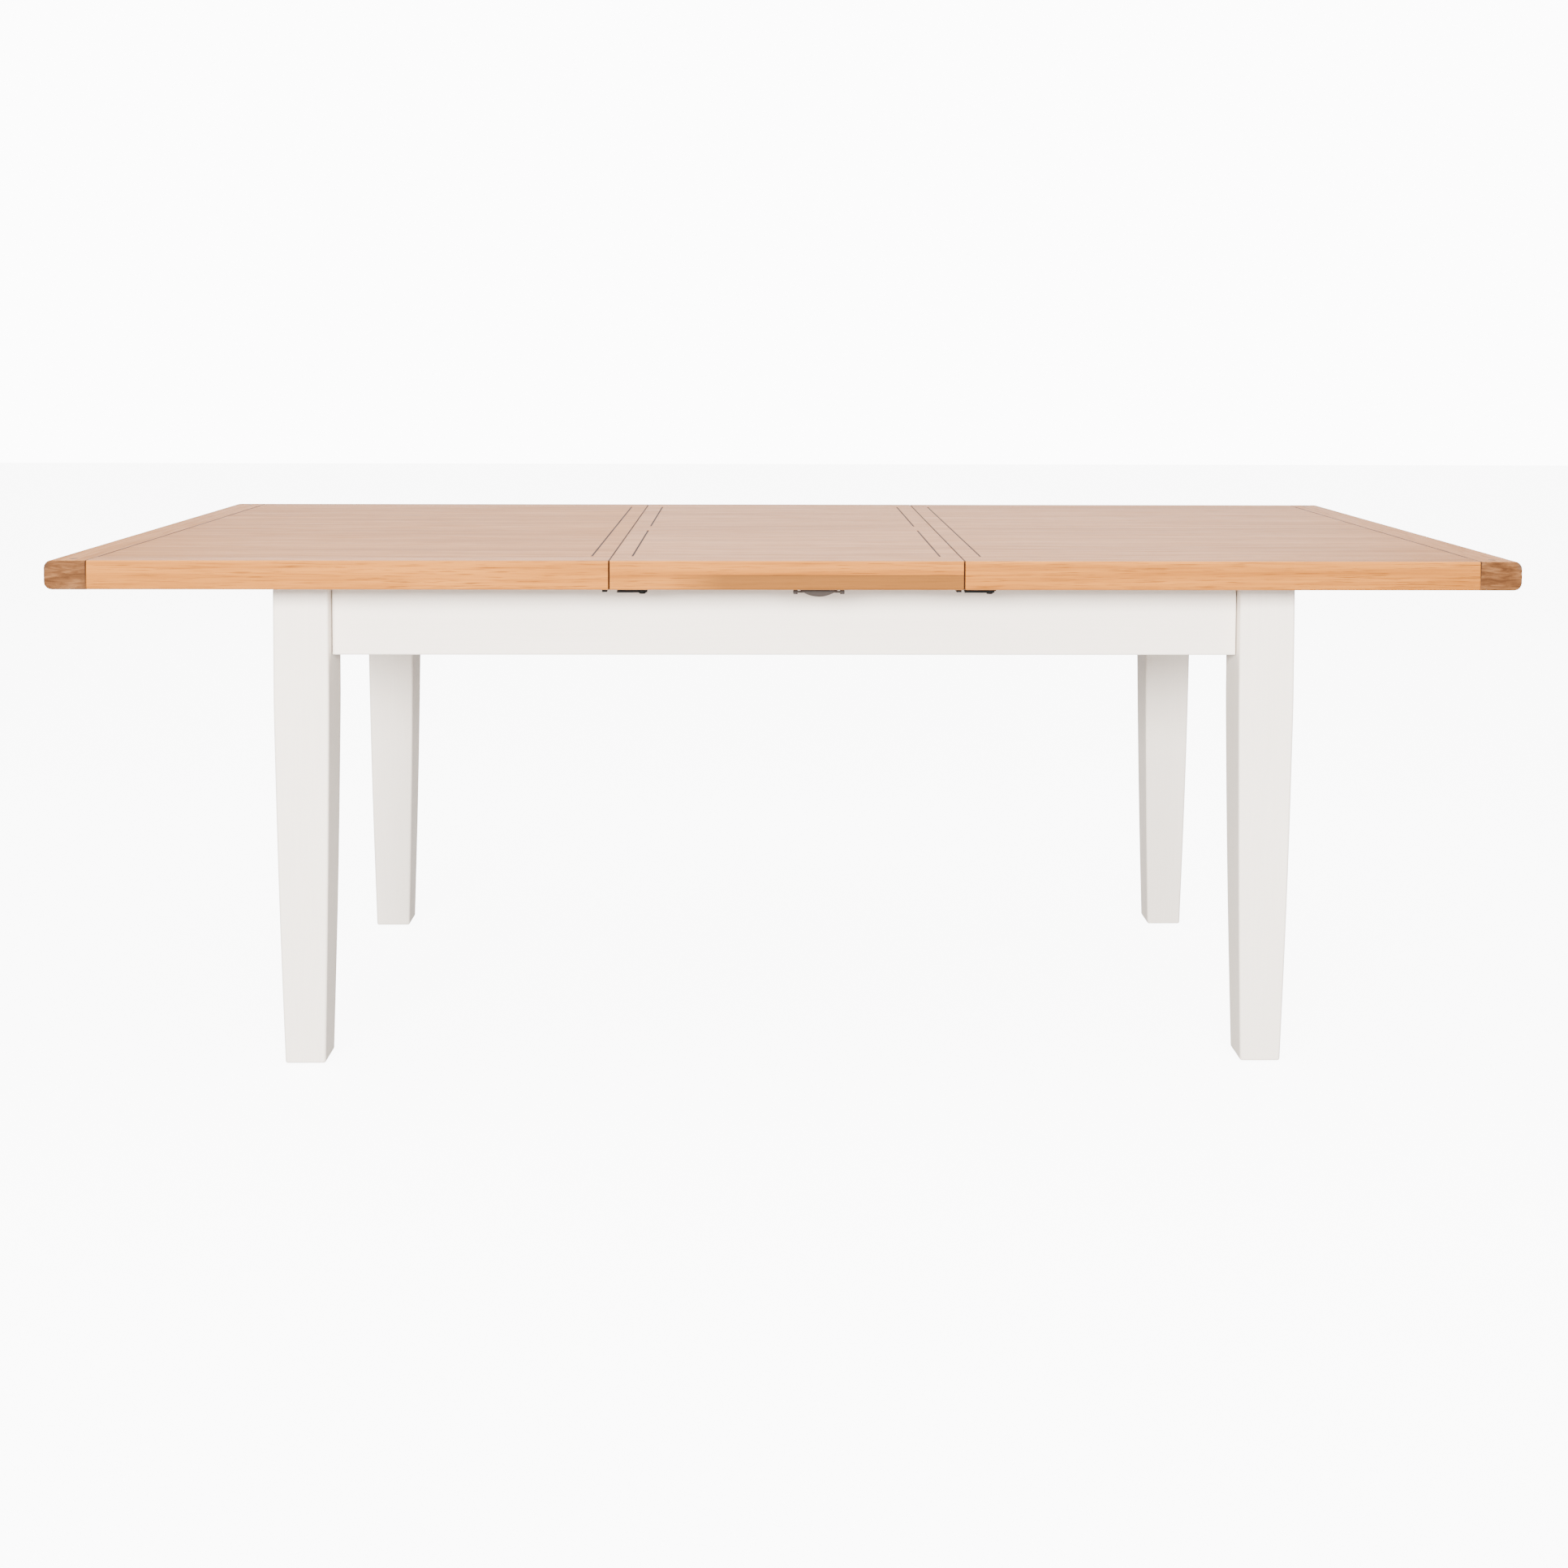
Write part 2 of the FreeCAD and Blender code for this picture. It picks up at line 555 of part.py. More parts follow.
def makeShaft(name):
    """Turning shaft that ties the two fore arms together."""
    body = newBody(name)
    addRod(body, "Additive", alongX, "shaftDiameter", "2 * (%s + bearerWidth + 4)" % bearerInner,
           "-(%s + bearerWidth + 4)" % bearerInner, foreReach, pivotHeight)
    return body


def makeAftPins(name):
    """Two pins fixed in the bearers on which the aft arms turn."""
    pins = []
    for signX in (-1, 1):
        low = side(signX, "%s - 1.5" % armInnerX, "%s + bearerWidth" % bearerInner)[0]
        length = "(%s + bearerWidth - %s + 1.5)" % (bearerInner, armInnerX)
        pins.append(looseRod(alongX, "pinDiameter", length, low, aftReach, pivotHeight))
    return group(name, pins)


def latchBase(start, signY):
    """Plate under the edge of the top with its rivet; the plate runs away from the seam."""
    plate = looseBox(("%s + 4" % start, "%s + latchLeverLength" % start),
                     side(signY, "%s - 11" % latchMiddleY, "%s + 11" % latchMiddleY),
                     ("%s - latchPlateThickness" % edgeUnder, edgeUnder))
    rivet = looseRod(upright, 5, "latchPlateThickness + latchLeverThickness + 1.8",
                     "%s + latchLeverLength - 8" % start, signed(signY, latchMiddleY),
                     "%s - latchPlateThickness - latchLeverThickness - 1.8" % edgeUnder)
    head = looseRod(upright, 9, 1.5, "%s + latchLeverLength - 8" % start, signed(signY, latchMiddleY),
                    "%s - latchPlateThickness - latchLeverThickness - 2.1" % edgeUnder)
    return join([plate, rivet, head])


def makeLatchLever(name, start, signY):
    """Swivel lever that turns flat under its plate on the rivet."""
    body = newBody(name)
    level = "%s - latchPlateThickness - latchLeverThickness - 0.3" % edgeUnder
    addBox(body, "Additive", (start, "%s + latchLeverLength - 8" % start),
           side(signY, "%s - latchLeverWidth / 2" % latchMiddleY, "%s + latchLeverWidth / 2" % latchMiddleY),
           (level, "%s + latchLeverThickness" % level))
    pivotX = "%s + latchLeverLength - 8" % start
    addRod(body, "Additive", upright, 14, "latchLeverThickness", pivotX, signed(signY, latchMiddleY), level)
    addRod(body, "Subtractive", upright, 5.6, "latchLeverThickness + 2", pivotX,
           signed(signY, latchMiddleY), "%s - 1" % level)
    addRod(body, "Subtractive", upright, 5, "latchLeverThickness + 2", "%s + 5" % start,
           signed(signY, "(%s - 4)" % latchMiddleY), "%s - 1" % level)
    return body


def keeper(end, signY):
    """Small strike beside the seam, on the part that the lever holds."""
    return looseBox(("%s - 3 - keeperLength" % end, "%s - 3" % end),
                    side(signY, "%s - 10" % latchMiddleY, "%s + 10" % latchMiddleY),
                    ("%s - 4" % edgeUnder, edgeUnder))


pullAxisHeight = "(tableHeight - edgeThickness - pullAxisDrop)"


def makePullPosts(name):
    """Two posts under the front edge of the leaf that hold the drop pull."""
    posts = []
    for signX in (-1, 1):
        middle = "(pullCentre + %d * (pullWidth / 2 + 5.5))" % signX
        block = looseBox(("%s - pullPostLength / 2" % middle, "%s + pullPostLength / 2" % middle),
                         ("-(%s) - 3.5" % latchMiddleY, "-(%s) + 3.5" % latchMiddleY),
                         ("%s - 3" % pullAxisHeight, edgeUnder))
        bore = looseRod(alongX, "pullPinDiameter + turningClearance", "pullPostLength + 4",
                        "%s - pullPostLength / 2 - 2" % middle, "-(%s)" % latchMiddleY, pullAxisHeight)
        posts.append(carve(block, bore))
    return group(name, posts)


def makePull(name):
    """Crescent shaped drop pull: the part of a disc that hangs below a level line, with two pins."""
    body = newBody(name)
    low = "-(%s) - pullThickness / 2" % latchMiddleY
    upper = "(%s - pullClearance)" % edgeUnder
    sag = "(pullDrop - pullClearance)"
    radius = "((pullWidth * pullWidth / 4 + %s * %s) / (2 * %s))" % (sag, sag, sag)
    addRod(body, "Additive", alongY, "2 * %s" % radius, "pullThickness", "pullCentre", low,
           "%s - %s + %s" % (upper, sag, radius))
    addBox(body, "Subtractive", ("pullCentre - 2 * %s" % radius, "pullCentre + 2 * %s" % radius),
           ("%s - 1" % low, "%s + pullThickness + 1" % low), (upper, "%s + 2 * %s" % (upper, radius)))
    pin = "(pullPinLength + 6)"
    addRod(body, "Additive", alongX, "pullPinDiameter", pin,
           "pullCentre - pullWidth / 2 - pullPinLength", "-(%s)" % latchMiddleY, pullAxisHeight)
    addRod(body, "Additive", alongX, "pullPinDiameter", pin,
           "pullCentre + pullWidth / 2 - 6", "-(%s)" % latchMiddleY, pullAxisHeight)
    return body


sideNames = {-1: "left", 1: "right"}
depthNames = {-1: "front", 1: "back"}

for signX in (-1, 1):
    for signY in (-1, 1):
        makeLeg("leg_%s_%s" % (depthNames[signY], sideNames[signX]), signX, signY)
makeLongApron("apron_front", -1)
makeLongApron("apron_back", 1)
makeEndApron("apron_left", -1)
makeEndApron("apron_right", 1)
makeCornerBlocks("corner_blocks")
makeCornerBolts("corner_bolts")
makeFootGlides("foot_glides")
makeGuideRail("guide_rail_front", -1)
makeGuideRail("guide_rail_back", 1)
makeGuideScrews("guide_rail_screws")
makeBearer("bearer_left", -1)
makeBearer("bearer_right", 1)
makeRestBlocks("leaf_rest_blocks")

for signX in (-1, 1):
    sideName = sideNames[signX]
    makePanel("top_panel_%s" % sideName, signX)
    makeBreadboard("breadboard_end_%s" % sideName, signX)
    makePlugs("end_plugs_%s" % sideName, signX)
    for signY in (-1, 1):
        makeLipping("lipping_%s_%s" % (sideName, depthNames[signY]), side(signX, halfSeam, panelEnd), signY)
        makeRunner("runner_%s_%s" % (sideName, depthNames[signY]), signX, signY)

leafSpan = ("-%s" % leafEdge, leafEdge)
for signY in (-1, 1):
    depthName = depthNames[signY]
    makeLeafPanel("leaf_panel_%s" % depthName, signY)
    makeLipping("leaf_lipping_%s" % depthName, leafSpan, signY)
    makeHingeBarrels("leaf_hinge_barrels_%s" % depthName, signY)
for signX in (-1, 1):
    makeCarrier("leaf_carrier_%s" % sideNames[signX], signX)
    makeArm("fore_arm_%s" % sideNames[signX], signX, foreHold, foreReach, "shaftDiameter")
    makeArm("aft_arm_%s" % sideNames[signX], signX, aftHold, aftReach,
            "pinDiameter + 2 * turningClearance")
makeCarrierScrews("carrier_screws")
makeCarrierPins("carrier_pins")
makeShaft("arm_shaft")
makeAftPins("aft_pivot_pins")

# The left seam is locked from the leaf, the right seam from the right half.
leafLeverStart = "(10 - %s)" % leafEdge
rightLeverStart = "(%s + 1.5)" % halfSeam
for signY in (-1, 1):
    depthName = depthNames[signY]
    group("leaf_latch_plate_%s" % depthName, [latchBase(leafLeverStart, signY)])
    makeLatchLever("leaf_latch_lever_%s" % depthName, leafLeverStart, signY)
    group("leaf_keeper_%s" % depthName, [keeper(leafEdge, signY)])
    makeLatchLever("right_latch_lever_%s" % depthName, rightLeverStart, signY)
group("right_latch_plates", [latchBase(rightLeverStart, -1), latchBase(rightLeverStart, 1)])
group("left_keepers", [keeper("-%s" % halfSeam, -1), keeper("-%s" % halfSeam, 1)])
makePullPosts("leaf_pull_posts")
makePull("leaf_pull")

document.recompute()

failures = []
for item in document.Objects:
    if "Invalid" in item.State or "Error" in item.State:
        failures.append("%s %s" % (item.Label, item.State))
for name, node in nodes.items():
    shape = node.Shape
    if shape.isNull() or not shape.isValid() or not shape.Solids or shape.Volume <= 0:
        failures.append("%s has no valid solid" % name)
if failures:
    raise RuntimeError("; ".join(failures))

os.makedirs("parts", exist_ok=True)
for name, node in nodes.items():
    node.Shape.exportStep("parts/%s.step" % name)
print("nodes", len(nodes))
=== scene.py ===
import json
import math

import bmesh
import bpy
import numpy as np
from mathutils import Matrix, Vector


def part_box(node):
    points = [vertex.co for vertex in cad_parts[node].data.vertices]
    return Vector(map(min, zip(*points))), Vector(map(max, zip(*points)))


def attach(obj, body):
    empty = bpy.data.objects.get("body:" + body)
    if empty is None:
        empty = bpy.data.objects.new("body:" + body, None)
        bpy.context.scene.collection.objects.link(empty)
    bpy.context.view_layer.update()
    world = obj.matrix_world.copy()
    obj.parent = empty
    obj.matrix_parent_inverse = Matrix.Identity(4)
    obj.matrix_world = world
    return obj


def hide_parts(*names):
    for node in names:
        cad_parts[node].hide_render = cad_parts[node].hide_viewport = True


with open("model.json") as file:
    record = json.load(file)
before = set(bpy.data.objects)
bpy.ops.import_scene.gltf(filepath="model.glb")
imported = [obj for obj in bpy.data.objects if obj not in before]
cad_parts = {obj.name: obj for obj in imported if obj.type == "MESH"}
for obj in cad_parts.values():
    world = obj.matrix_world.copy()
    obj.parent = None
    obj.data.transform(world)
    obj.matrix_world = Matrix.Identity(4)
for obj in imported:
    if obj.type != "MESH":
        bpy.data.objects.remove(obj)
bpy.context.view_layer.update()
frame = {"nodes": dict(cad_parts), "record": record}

record = frame["record"]
bodyOfNode = {node: body for body, members in record["behaviour"]["bodies"].items() for node in members}
slotOfNode = {entry["node"]: entry["material_slot"] for entry in record["subparts"]}
sideNames = {"left": -1, "right": 1}
depthNames = {"front": -1, "back": 1}
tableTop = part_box("breadboard_end_left")[1].z
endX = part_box("breadboard_end_right")[1].x
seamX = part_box("top_panel_right")[0].x
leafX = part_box("leaf_panel_back")[1].x
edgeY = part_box("lipping_right_back")[1].y
print("frame loaded:", len(frame["nodes"]), "nodes")


def meshFromGrid(name, rings, attributes=None):
    # rings is (m, n, 3): m closed loops of n points. Neighbouring loops are joined by quads and the
    # first and last loop are closed by one flat face each.
    m, n = rings.shape[:2]
    index = np.arange(m * n).reshape(m, n)
    a, b = index[:-1], index[1:]
    quads = np.stack([a, np.roll(a, -1, 1), np.roll(b, -1, 1), b], -1).reshape(-1, 4)
    faces = quads.tolist() + [index[0][::-1].tolist(), index[-1].tolist()]
    mesh = bpy.data.meshes.new(name)
    mesh.from_pydata(rings.reshape(-1, 3).tolist(), [], faces)
    for key, values in (attributes or {}).items():
        layer = mesh.attributes.new(key, "FLOAT", "POINT")
        layer.data.foreach_set("value", np.asarray(values, np.float32).ravel())
    mesh.validate()
    return finishMesh(name, mesh)


def finishMesh(name, mesh, sharpDegrees=38):
    if signedVolume(mesh) < 0:
        mesh.flip_normals()
    mesh.shade_smooth()
    mesh.set_sharp_from_angle(angle=math.radians(sharpDegrees))
    piece = bpy.data.objects.new(name, mesh)
    bpy.context.scene.collection.objects.link(piece)
    weighted = piece.modifiers.new("evenNormals", "WEIGHTED_NORMAL")
    weighted.keep_sharp = True
    return piece


def pointsOf(mesh):
    points = np.empty(len(mesh.vertices) * 3, np.float32)
    mesh.vertices.foreach_get("co", points)
    return points.reshape(-1, 3).astype(float)


def signedVolume(mesh):
    # Sum over triangles of a . (b x c) / 6, positive when the faces point outwards.
    mesh.calc_loop_triangles()
    corners = np.empty(len(mesh.loop_triangles) * 3, np.int32)
    mesh.loop_triangles.foreach_get("vertices", corners)
    tri = pointsOf(mesh)[corners.reshape(-1, 3)]
    return float(np.einsum("ij,ij->i", tri[:, 0], np.cross(tri[:, 1], tri[:, 2])).sum() / 6)


barShape = {"wornFrom": 0.0006, "leastRadius": 0.00015, "endWear": 0.7, "endShare": 0.9}


def roundedLoop(lowP, highP, lowQ, highQ, radii, steps=5):
    # Loops of a rectangle whose four corners are quarter circles: a corner's points are its centre plus
    # radius times (cos, sin). All limits and radii may be arrays, one per loop. The wear value is the
    # root of sin 2t over a corner, so it is largest at its middle.
    limits = (lowP, highP, lowQ, highQ)
    lowP, highP, lowQ, highQ = (np.atleast_1d(np.asarray(v, float))[:, None] for v in limits)
    turn = np.linspace(0, math.pi / 2, steps)[None, :]
    loops, arris = [], []
    corners = [(lowP, lowQ, 1, 1, math.pi), (highP, lowQ, -1, 1, 1.5 * math.pi),
               (highP, highQ, -1, -1, 0), (lowP, highQ, 1, -1, 0.5 * math.pi)]
    for (p, q, inP, inQ, start), radius in zip(corners, radii):
        r = np.atleast_1d(np.asarray(radius, float))[:, None] * np.ones_like(lowP)
        angle = start + turn
        loops.append(np.stack([p + inP * r + r * np.cos(angle), q + inQ * r + r * np.sin(angle)], -1))
        arris.append(np.broadcast_to(np.sin(2 * turn) ** 0.5, angle.shape) * (r > barShape["wornFrom"]))
    return np.concatenate(loops, 1), np.concatenate(arris, 1)


def placeLoops(loops, along, axis):
    # Turns (p, q) loops and their places along the axis into (x, y, z) rings.
    s = np.broadcast_to(np.asarray(along, float)[:, None], loops.shape[:2])
    p, q = loops[..., 0], loops[..., 1]
    order = {"X": (s, p, q), "Y": (p, s, q), "Z": (p, q, s)}[axis]
    return np.stack(order, -1)


def endStations(low, high, radius, steps=4, inner=()):
    # Places along a bar and how far its loop shrinks there: at an end rounded with radius r the place
    # is end - r + r sin t and the shrink is r (1 - cos t).
    t = np.linspace(math.pi / 2, 0, steps)
    start = low + radius - radius * np.sin(t)
    shrink = radius * (1 - np.cos(t))
    middle = np.asarray(sorted(inner), float)
    places = np.concatenate([start, middle, (high - radius + radius * np.sin(t))[::-1]])
    return places, np.concatenate([shrink, np.zeros(len(middle)), shrink[::-1]])


def roundedBar(name, low, high, axis, radii, endRadius=0.0006, inner=(), endTone=None):
    # A straight bar: a rectangle with rounded corners carried along one axis. endTone gives the width of
    # a dark strip at the two ends and how dark each is.
    p, q, s = {"X": (1, 2, 0), "Y": (0, 2, 1), "Z": (0, 1, 2)}[axis]
    places, shrink = endStations(low[s], high[s], endRadius, inner=inner)
    radii = [np.maximum(r - shrink, barShape["leastRadius"]) for r in radii]
    loops, arris = roundedLoop(low[p] + shrink, high[p] - shrink, low[q] + shrink, high[q] - shrink, radii)
    arris = np.maximum(arris, (shrink > 1e-6)[:, None] * barShape["endWear"])
    values = {"arris": arris}
    if endTone:
        width, (start, end) = endTone
        reach = barShape["endShare"] * width
        dark = np.maximum(start * (places < low[s] + reach), end * (places > high[s] - reach))
        dark[[0, -1]] = 0
        values["groove"] = np.broadcast_to(dark[:, None], arris.shape)
        values["arris"] = arris * (dark[:, None] == 0)
    return meshFromGrid(name, placeLoops(loops, places, axis), values)


def adopt(piece, node, material):
    # Stands a finished piece in for a node: same body, same material slot.
    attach(piece, bodyOfNode[node])
    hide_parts(node)
    piece.data.materials.clear()
    piece.data.materials.append(material)
    return piece


class Nodes:
    # Short hand for building a node tree.

    def __init__(self, name):
        self.material = bpy.data.materials.new(name)
        self.material.use_nodes = True
        self.tree = self.material.node_tree
        self.tree.nodes.clear()
        self.shader = self.tree.nodes.new("ShaderNodeBsdfPrincipled")
        output = self.tree.nodes.new("ShaderNodeOutputMaterial")
        self.tree.links.new(self.shader.outputs[0], output.inputs[0])
        self.coordinates = self.tree.nodes.new("ShaderNodeTexCoord")

    def link(self, source, target):
        self.tree.links.new(source, target)

    def feed(self, socket, value):
        if isinstance(value, bpy.types.NodeSocket):
            self.link(value, socket)
        else:
            socket.default_value = value

    def mapped(self, scale=(1, 1, 1), location=(0, 0, 0), rotation=(0, 0, 0)):
        node = self.tree.nodes.new("ShaderNodeMapping")
        self.link(self.coordinates.outputs["Object"], node.inputs["Vector"])
        node.inputs["Scale"].default_value = scale
        node.inputs["Location"].default_value = location
        node.inputs["Rotation"].default_value = rotation
        return node.outputs[0]

    def noise(self, vector, detail=4.0, roughness=0.5, distortion=0.0):
        node = self.tree.nodes.new("ShaderNodeTexNoise")
        self.link(vector, node.inputs["Vector"])
        node.inputs["Scale"].default_value = 1.0
        node.inputs["Detail"].default_value = detail
        node.inputs["Roughness"].default_value = roughness
        node.inputs["Distortion"].default_value = distortion
        return node.outputs["Fac"]

    def ramp(self, factor, stops):
        node = self.tree.nodes.new("ShaderNodeValToRGB")
        self.link(factor, node.inputs[0])
        band = node.color_ramp
        while len(band.elements) < len(stops):
            band.elements.new(0.5)
        for element, (place, colour) in zip(band.elements, stops):
            element.position = place
            element.color = (*colour, 1) if len(colour) == 3 else colour
        return node.outputs["Color"]

    def grey(self, factor, low, high, fromLow=0.0, fromHigh=1.0):
        node = self.tree.nodes.new("ShaderNodeMapRange")
        self.link(factor, node.inputs["Value"])
        node.inputs["From Min"].default_value = fromLow
        node.inputs["From Max"].default_value = fromHigh
        node.inputs["To Min"].default_value = low
        node.inputs["To Max"].default_value = high
        return node.outputs[0]

    def math(self, operation, first, second=0.0, third=0.0):
        node = self.tree.nodes.new("ShaderNodeMath")
        node.operation = operation
        for socket, value in zip(node.inputs, (first, second, third)):
            self.feed(socket, value)
        return node.outputs[0]

    def mix(self, factor, first, second, kind="MIX"):
        node = self.tree.nodes.new("ShaderNodeMix")
        node.data_type = "RGBA"
        node.blend_type = kind
        self.feed(node.inputs[0], factor)
        for socket, value in ((node.inputs[6], first), (node.inputs[7], second)):
            if isinstance(value, tuple):
                value = (*value, 1)
            self.feed(socket, value)
        return node.outputs[2]

    def attribute(self, name):
        node = self.tree.nodes.new("ShaderNodeAttribute")
        node.attribute_name = name
        return node.outputs["Fac"]

    def axis(self, index):
        node = self.tree.nodes.new("ShaderNodeSeparateXYZ")
        self.link(self.coordinates.outputs["Object"], node.inputs[0])
        return node.outputs[index]

    def bump(self, height, distance, strength=1.0, before=None):
        node = self.tree.nodes.new("ShaderNodeBump")
        node.inputs["Strength"].default_value = strength
        node.inputs["Distance"].default_value = distance
        self.link(height, node.inputs["Height"])
        if before is not None:
            self.link(before, node.inputs["Normal"])
        return node.outputs[0]

    def finish(self, colour, roughness, normal=None, metallic=0.0, specular=0.5):
        self.feed(self.shader.inputs["Base Color"], colour)
        self.feed(self.shader.inputs["Roughness"], roughness)
        self.shader.inputs["Metallic"].default_value = metallic
        self.feed(self.shader.inputs["Specular IOR Level"], specular)
        if normal is not None:
            self.link(normal, self.shader.inputs["Normal"])
        return self.material


oakLook = {
    "warmTop": {"pale": (0.47, 0.210, 0.078), "middle": (0.39, 0.167, 0.056), "deep": (0.27, 0.104, 0.031),
                "pore": (0.10, 0.034, 0.010)},
    "top": {"pale": (0.48, 0.229, 0.104), "middle": (0.40, 0.184, 0.077), "deep": (0.285, 0.119, 0.044),
            "pore": (0.10, 0.036, 0.014)},
    # Painted light: a deeper orange tint on the lipping faces, standing in for how light falls on them unlike
    # the top.
    "paintedFaceTint": (0.835, 0.64, 0.22),
    "faceSheen": 0.03,
    # Painted sheen: a grey-blue tint on the breadboard's upper arris, standing in for reflected light.
    "paintedArrisSheen": (0.80, 0.98, 1.45),
    "lower": (0.135, 0.052, 0.012),
    "glueDepth": 0.0207,
    "cut": ((0.060, 0.023, 0.008), (0.100, 0.040, 0.014), (0.150, 0.065, 0.024)),
    "grooveTone": (0.016, 0.006, 0.004),
    "wear": 1.12,
    "roughness": (0.42, 0.60),
    "specular": {"warmTop": 0.15, "top": 0.17},
}
# Scales along and across the grain, then for each effect its share of the mix and the band of the noise
# over which it comes in.
oakGrain = {
    "slow": 0.9, "fast": 38.0, "fineTimes": 9.0, "poreLong": 22, "poreAcross": 900,
    "figureStops": (0.30, 0.47, 0.62, 0.80), "blotchScale": (2.2, 3.1, 3.1),
    "streak": (0.80, 0.46, 0.70), "pore": (0.62, 0.58, 0.68), "blotch": (0.20, 0.42, 0.68),
    "wear": (0.10, 0.42, 0.35, 0.65), "gloss": (0.3, 0.7), "poreDepth": 0.00022, "streakDepth": 0.0003,
}
# Where one tone gives way to another, in metres in from an edge, and how strong the glued strip is.
oakStrips = {
    "face": (0.0024, 0.0006), "cut": (0.0016, 0.0006),
    "arrisOut": (0.010, 0.003), "arrisUp": (0.016, 0.007),
    "glueHalf": 0.0007, "glueSoft": 0.0005, "lowerShare": 0.85, "glueShare": 0.75,
    "acrossFrom": (-0.17, -0.09), "acrossLeast": 0.15,
    "ringScale": (30, 30, 170), "ringLean": 0.12, "ringStops": (0.34, 0.5, 0.66),
}


def alongGrain(axis, long, across):
    # The scale is small along the grain and large across it.
    return {"X": (long, across, across), "Y": (across, long, across), "Z": (across, across, long)}[axis]


def makeOak(name, along="X", offset=(0, 0, 0), look="top", endGrain=False, lipping=False, lamination=False):
    # Straight grained oak: slow figure, fine streaks and short dark pores, all stretched along the grain.
    kit = Nodes(name)
    stretch = alongGrain(along, oakGrain["slow"], oakGrain["fast"])
    fine = tuple(v * oakGrain["fineTimes"] for v in stretch)
    porous = alongGrain(along, oakGrain["poreLong"], oakGrain["poreAcross"])
    figure = kit.noise(kit.mapped(stretch, offset), detail=6.0, roughness=0.62, distortion=0.45)
    streaks = kit.noise(kit.mapped(fine, offset), detail=3.0, roughness=0.6, distortion=0.2)
    pores = kit.noise(kit.mapped(porous, offset), detail=2.0, roughness=0.5)
    blotch = kit.noise(kit.mapped(oakGrain["blotchScale"], offset), detail=2.0, roughness=0.5)
    tone = oakLook[look]
    sheen = oakLook["specular"][look]
    order = (tone["deep"], tone["middle"], tone["pale"], tone["middle"])
    colour = kit.ramp(figure, list(zip(oakGrain["figureStops"], order)))
    colour = kit.mix(kit.grey(streaks, 0.0, *oakGrain["streak"]), colour, tone["deep"])
    colour = kit.mix(kit.grey(pores, 0.0, *oakGrain["pore"]), colour, tone["pore"])
    colour = kit.mix(kit.grey(blotch, 0.0, *oakGrain["blotch"]), colour, tone["pale"])
    # The arrises are rubbed paler, unevenly.
    wear = kit.math("MULTIPLY", kit.attribute("arris"), kit.grey(blotch, *oakGrain["wear"]))
    colour = kit.mix(wear, colour, tuple(np.array(tone["pale"]) * oakLook["wear"]))
    fromMiddle = kit.math("ABSOLUTE", kit.axis(1))
    if lipping:
        # The outer face of a lipping is duller than the sanded top, and its deeper orange tint is painted
        # light: it stands in for the difference that light and sheen make between face and top.
        outer = kit.grey(fromMiddle, 0.0, 1.0, *(edgeY - v for v in oakStrips["face"]))
        colour = kit.mix(outer, colour, oakLook["paintedFaceTint"], "MULTIPLY")
        sheen = kit.grey(outer, sheen, oakLook["faceSheen"], 0.0, 1.0)
        if lamination:
            # Two strips glued one under the other, the lower one darker except near the left end.
            height = kit.axis(2)
            glueLine = tableTop - oakLook["glueDepth"]
            fade = kit.grey(kit.axis(0), oakStrips["acrossLeast"], 1.0, *oakStrips["acrossFrom"])
            across = kit.math("MULTIPLY", outer, fade)
            soften = oakStrips["glueSoft"]
            below = kit.grey(height, oakStrips["lowerShare"], 0.0, glueLine - soften, glueLine + soften)
            colour = kit.mix(kit.math("MULTIPLY", below, across), colour, oakLook["lower"])
            fromGlue = kit.math("ABSOLUTE", kit.math("SUBTRACT", height, glueLine))
            glue = kit.grey(fromGlue, oakStrips["glueShare"], 0.0, 0.0, oakStrips["glueHalf"])
            colour = kit.mix(kit.math("MULTIPLY", glue, across), colour, oakLook["grooveTone"])
    if endGrain:
        # The cut ends drink more finish: darker, with growth rings and open pores.
        cut = kit.grey(fromMiddle, 0.0, 1.0, *(edgeY - v for v in oakStrips["cut"]))
        leaning = kit.mapped(oakStrips["ringScale"], offset, (0, oakStrips["ringLean"], 0))
        rings = kit.noise(leaning, detail=3.0, roughness=0.6, distortion=0.8)
        ringColour = kit.ramp(rings, list(zip(oakStrips["ringStops"], oakLook["cut"])))
        colour = kit.mix(cut, colour, ringColour)
        sheen = kit.grey(cut, sheen, oakLook["faceSheen"], 0.0, 1.0)
        # Painted sheen: the long rounded upper arris is tinted greyer than the flat face, standing in for the
        # grey reflection it would catch.
        beyond = kit.math("ABSOLUTE", kit.axis(0))
        out = kit.grey(beyond, 0.0, 1.0, *(endX - v for v in oakStrips["arrisOut"]))
        up = kit.grey(kit.axis(2), 0.0, 1.0, *(tableTop - v for v in oakStrips["arrisUp"]))
        colour = kit.mix(kit.math("MULTIPLY", out, up), colour, oakLook["paintedArrisSheen"], "MULTIPLY")
    colour = kit.mix(kit.attribute("groove"), colour, oakLook["grooveTone"])
    roughness = kit.grey(streaks, *oakLook["roughness"], *oakGrain["gloss"])
    normal = kit.bump(pores, oakGrain["poreDepth"], 0.45)
    normal = kit.bump(streaks, oakGrain["streakDepth"], 0.35, normal)
    return kit.finish(colour, roughness, normal, specular=sheen)


paintLook = {
    "colour": (0.83, 0.745, 0.65), "shade": (0.77, 0.685, 0.59), "cloud": (0.745, 0.665, 0.575),
    "wear": (0.42, 0.28, 0.15), "roughness": (0.42, 0.58), "sheen": 0.4,
    "brushLong": 5, "brushAcross": 420, "grainLong": 3, "grainAcross": 60, "cloudScale": 7, "spotScale": 160,
    "brushBand": (0.5, 0.35, 0.75), "grainBand": (0.30, 0.45, 0.8), "cloudBand": (0.14, 0.4, 0.7),
    "spotBand": (0.5, 0.62, 0.76), "glossBand": (0.3, 0.7), "brushDepth": 0.00025, "grainDepth": 0.0004,
}


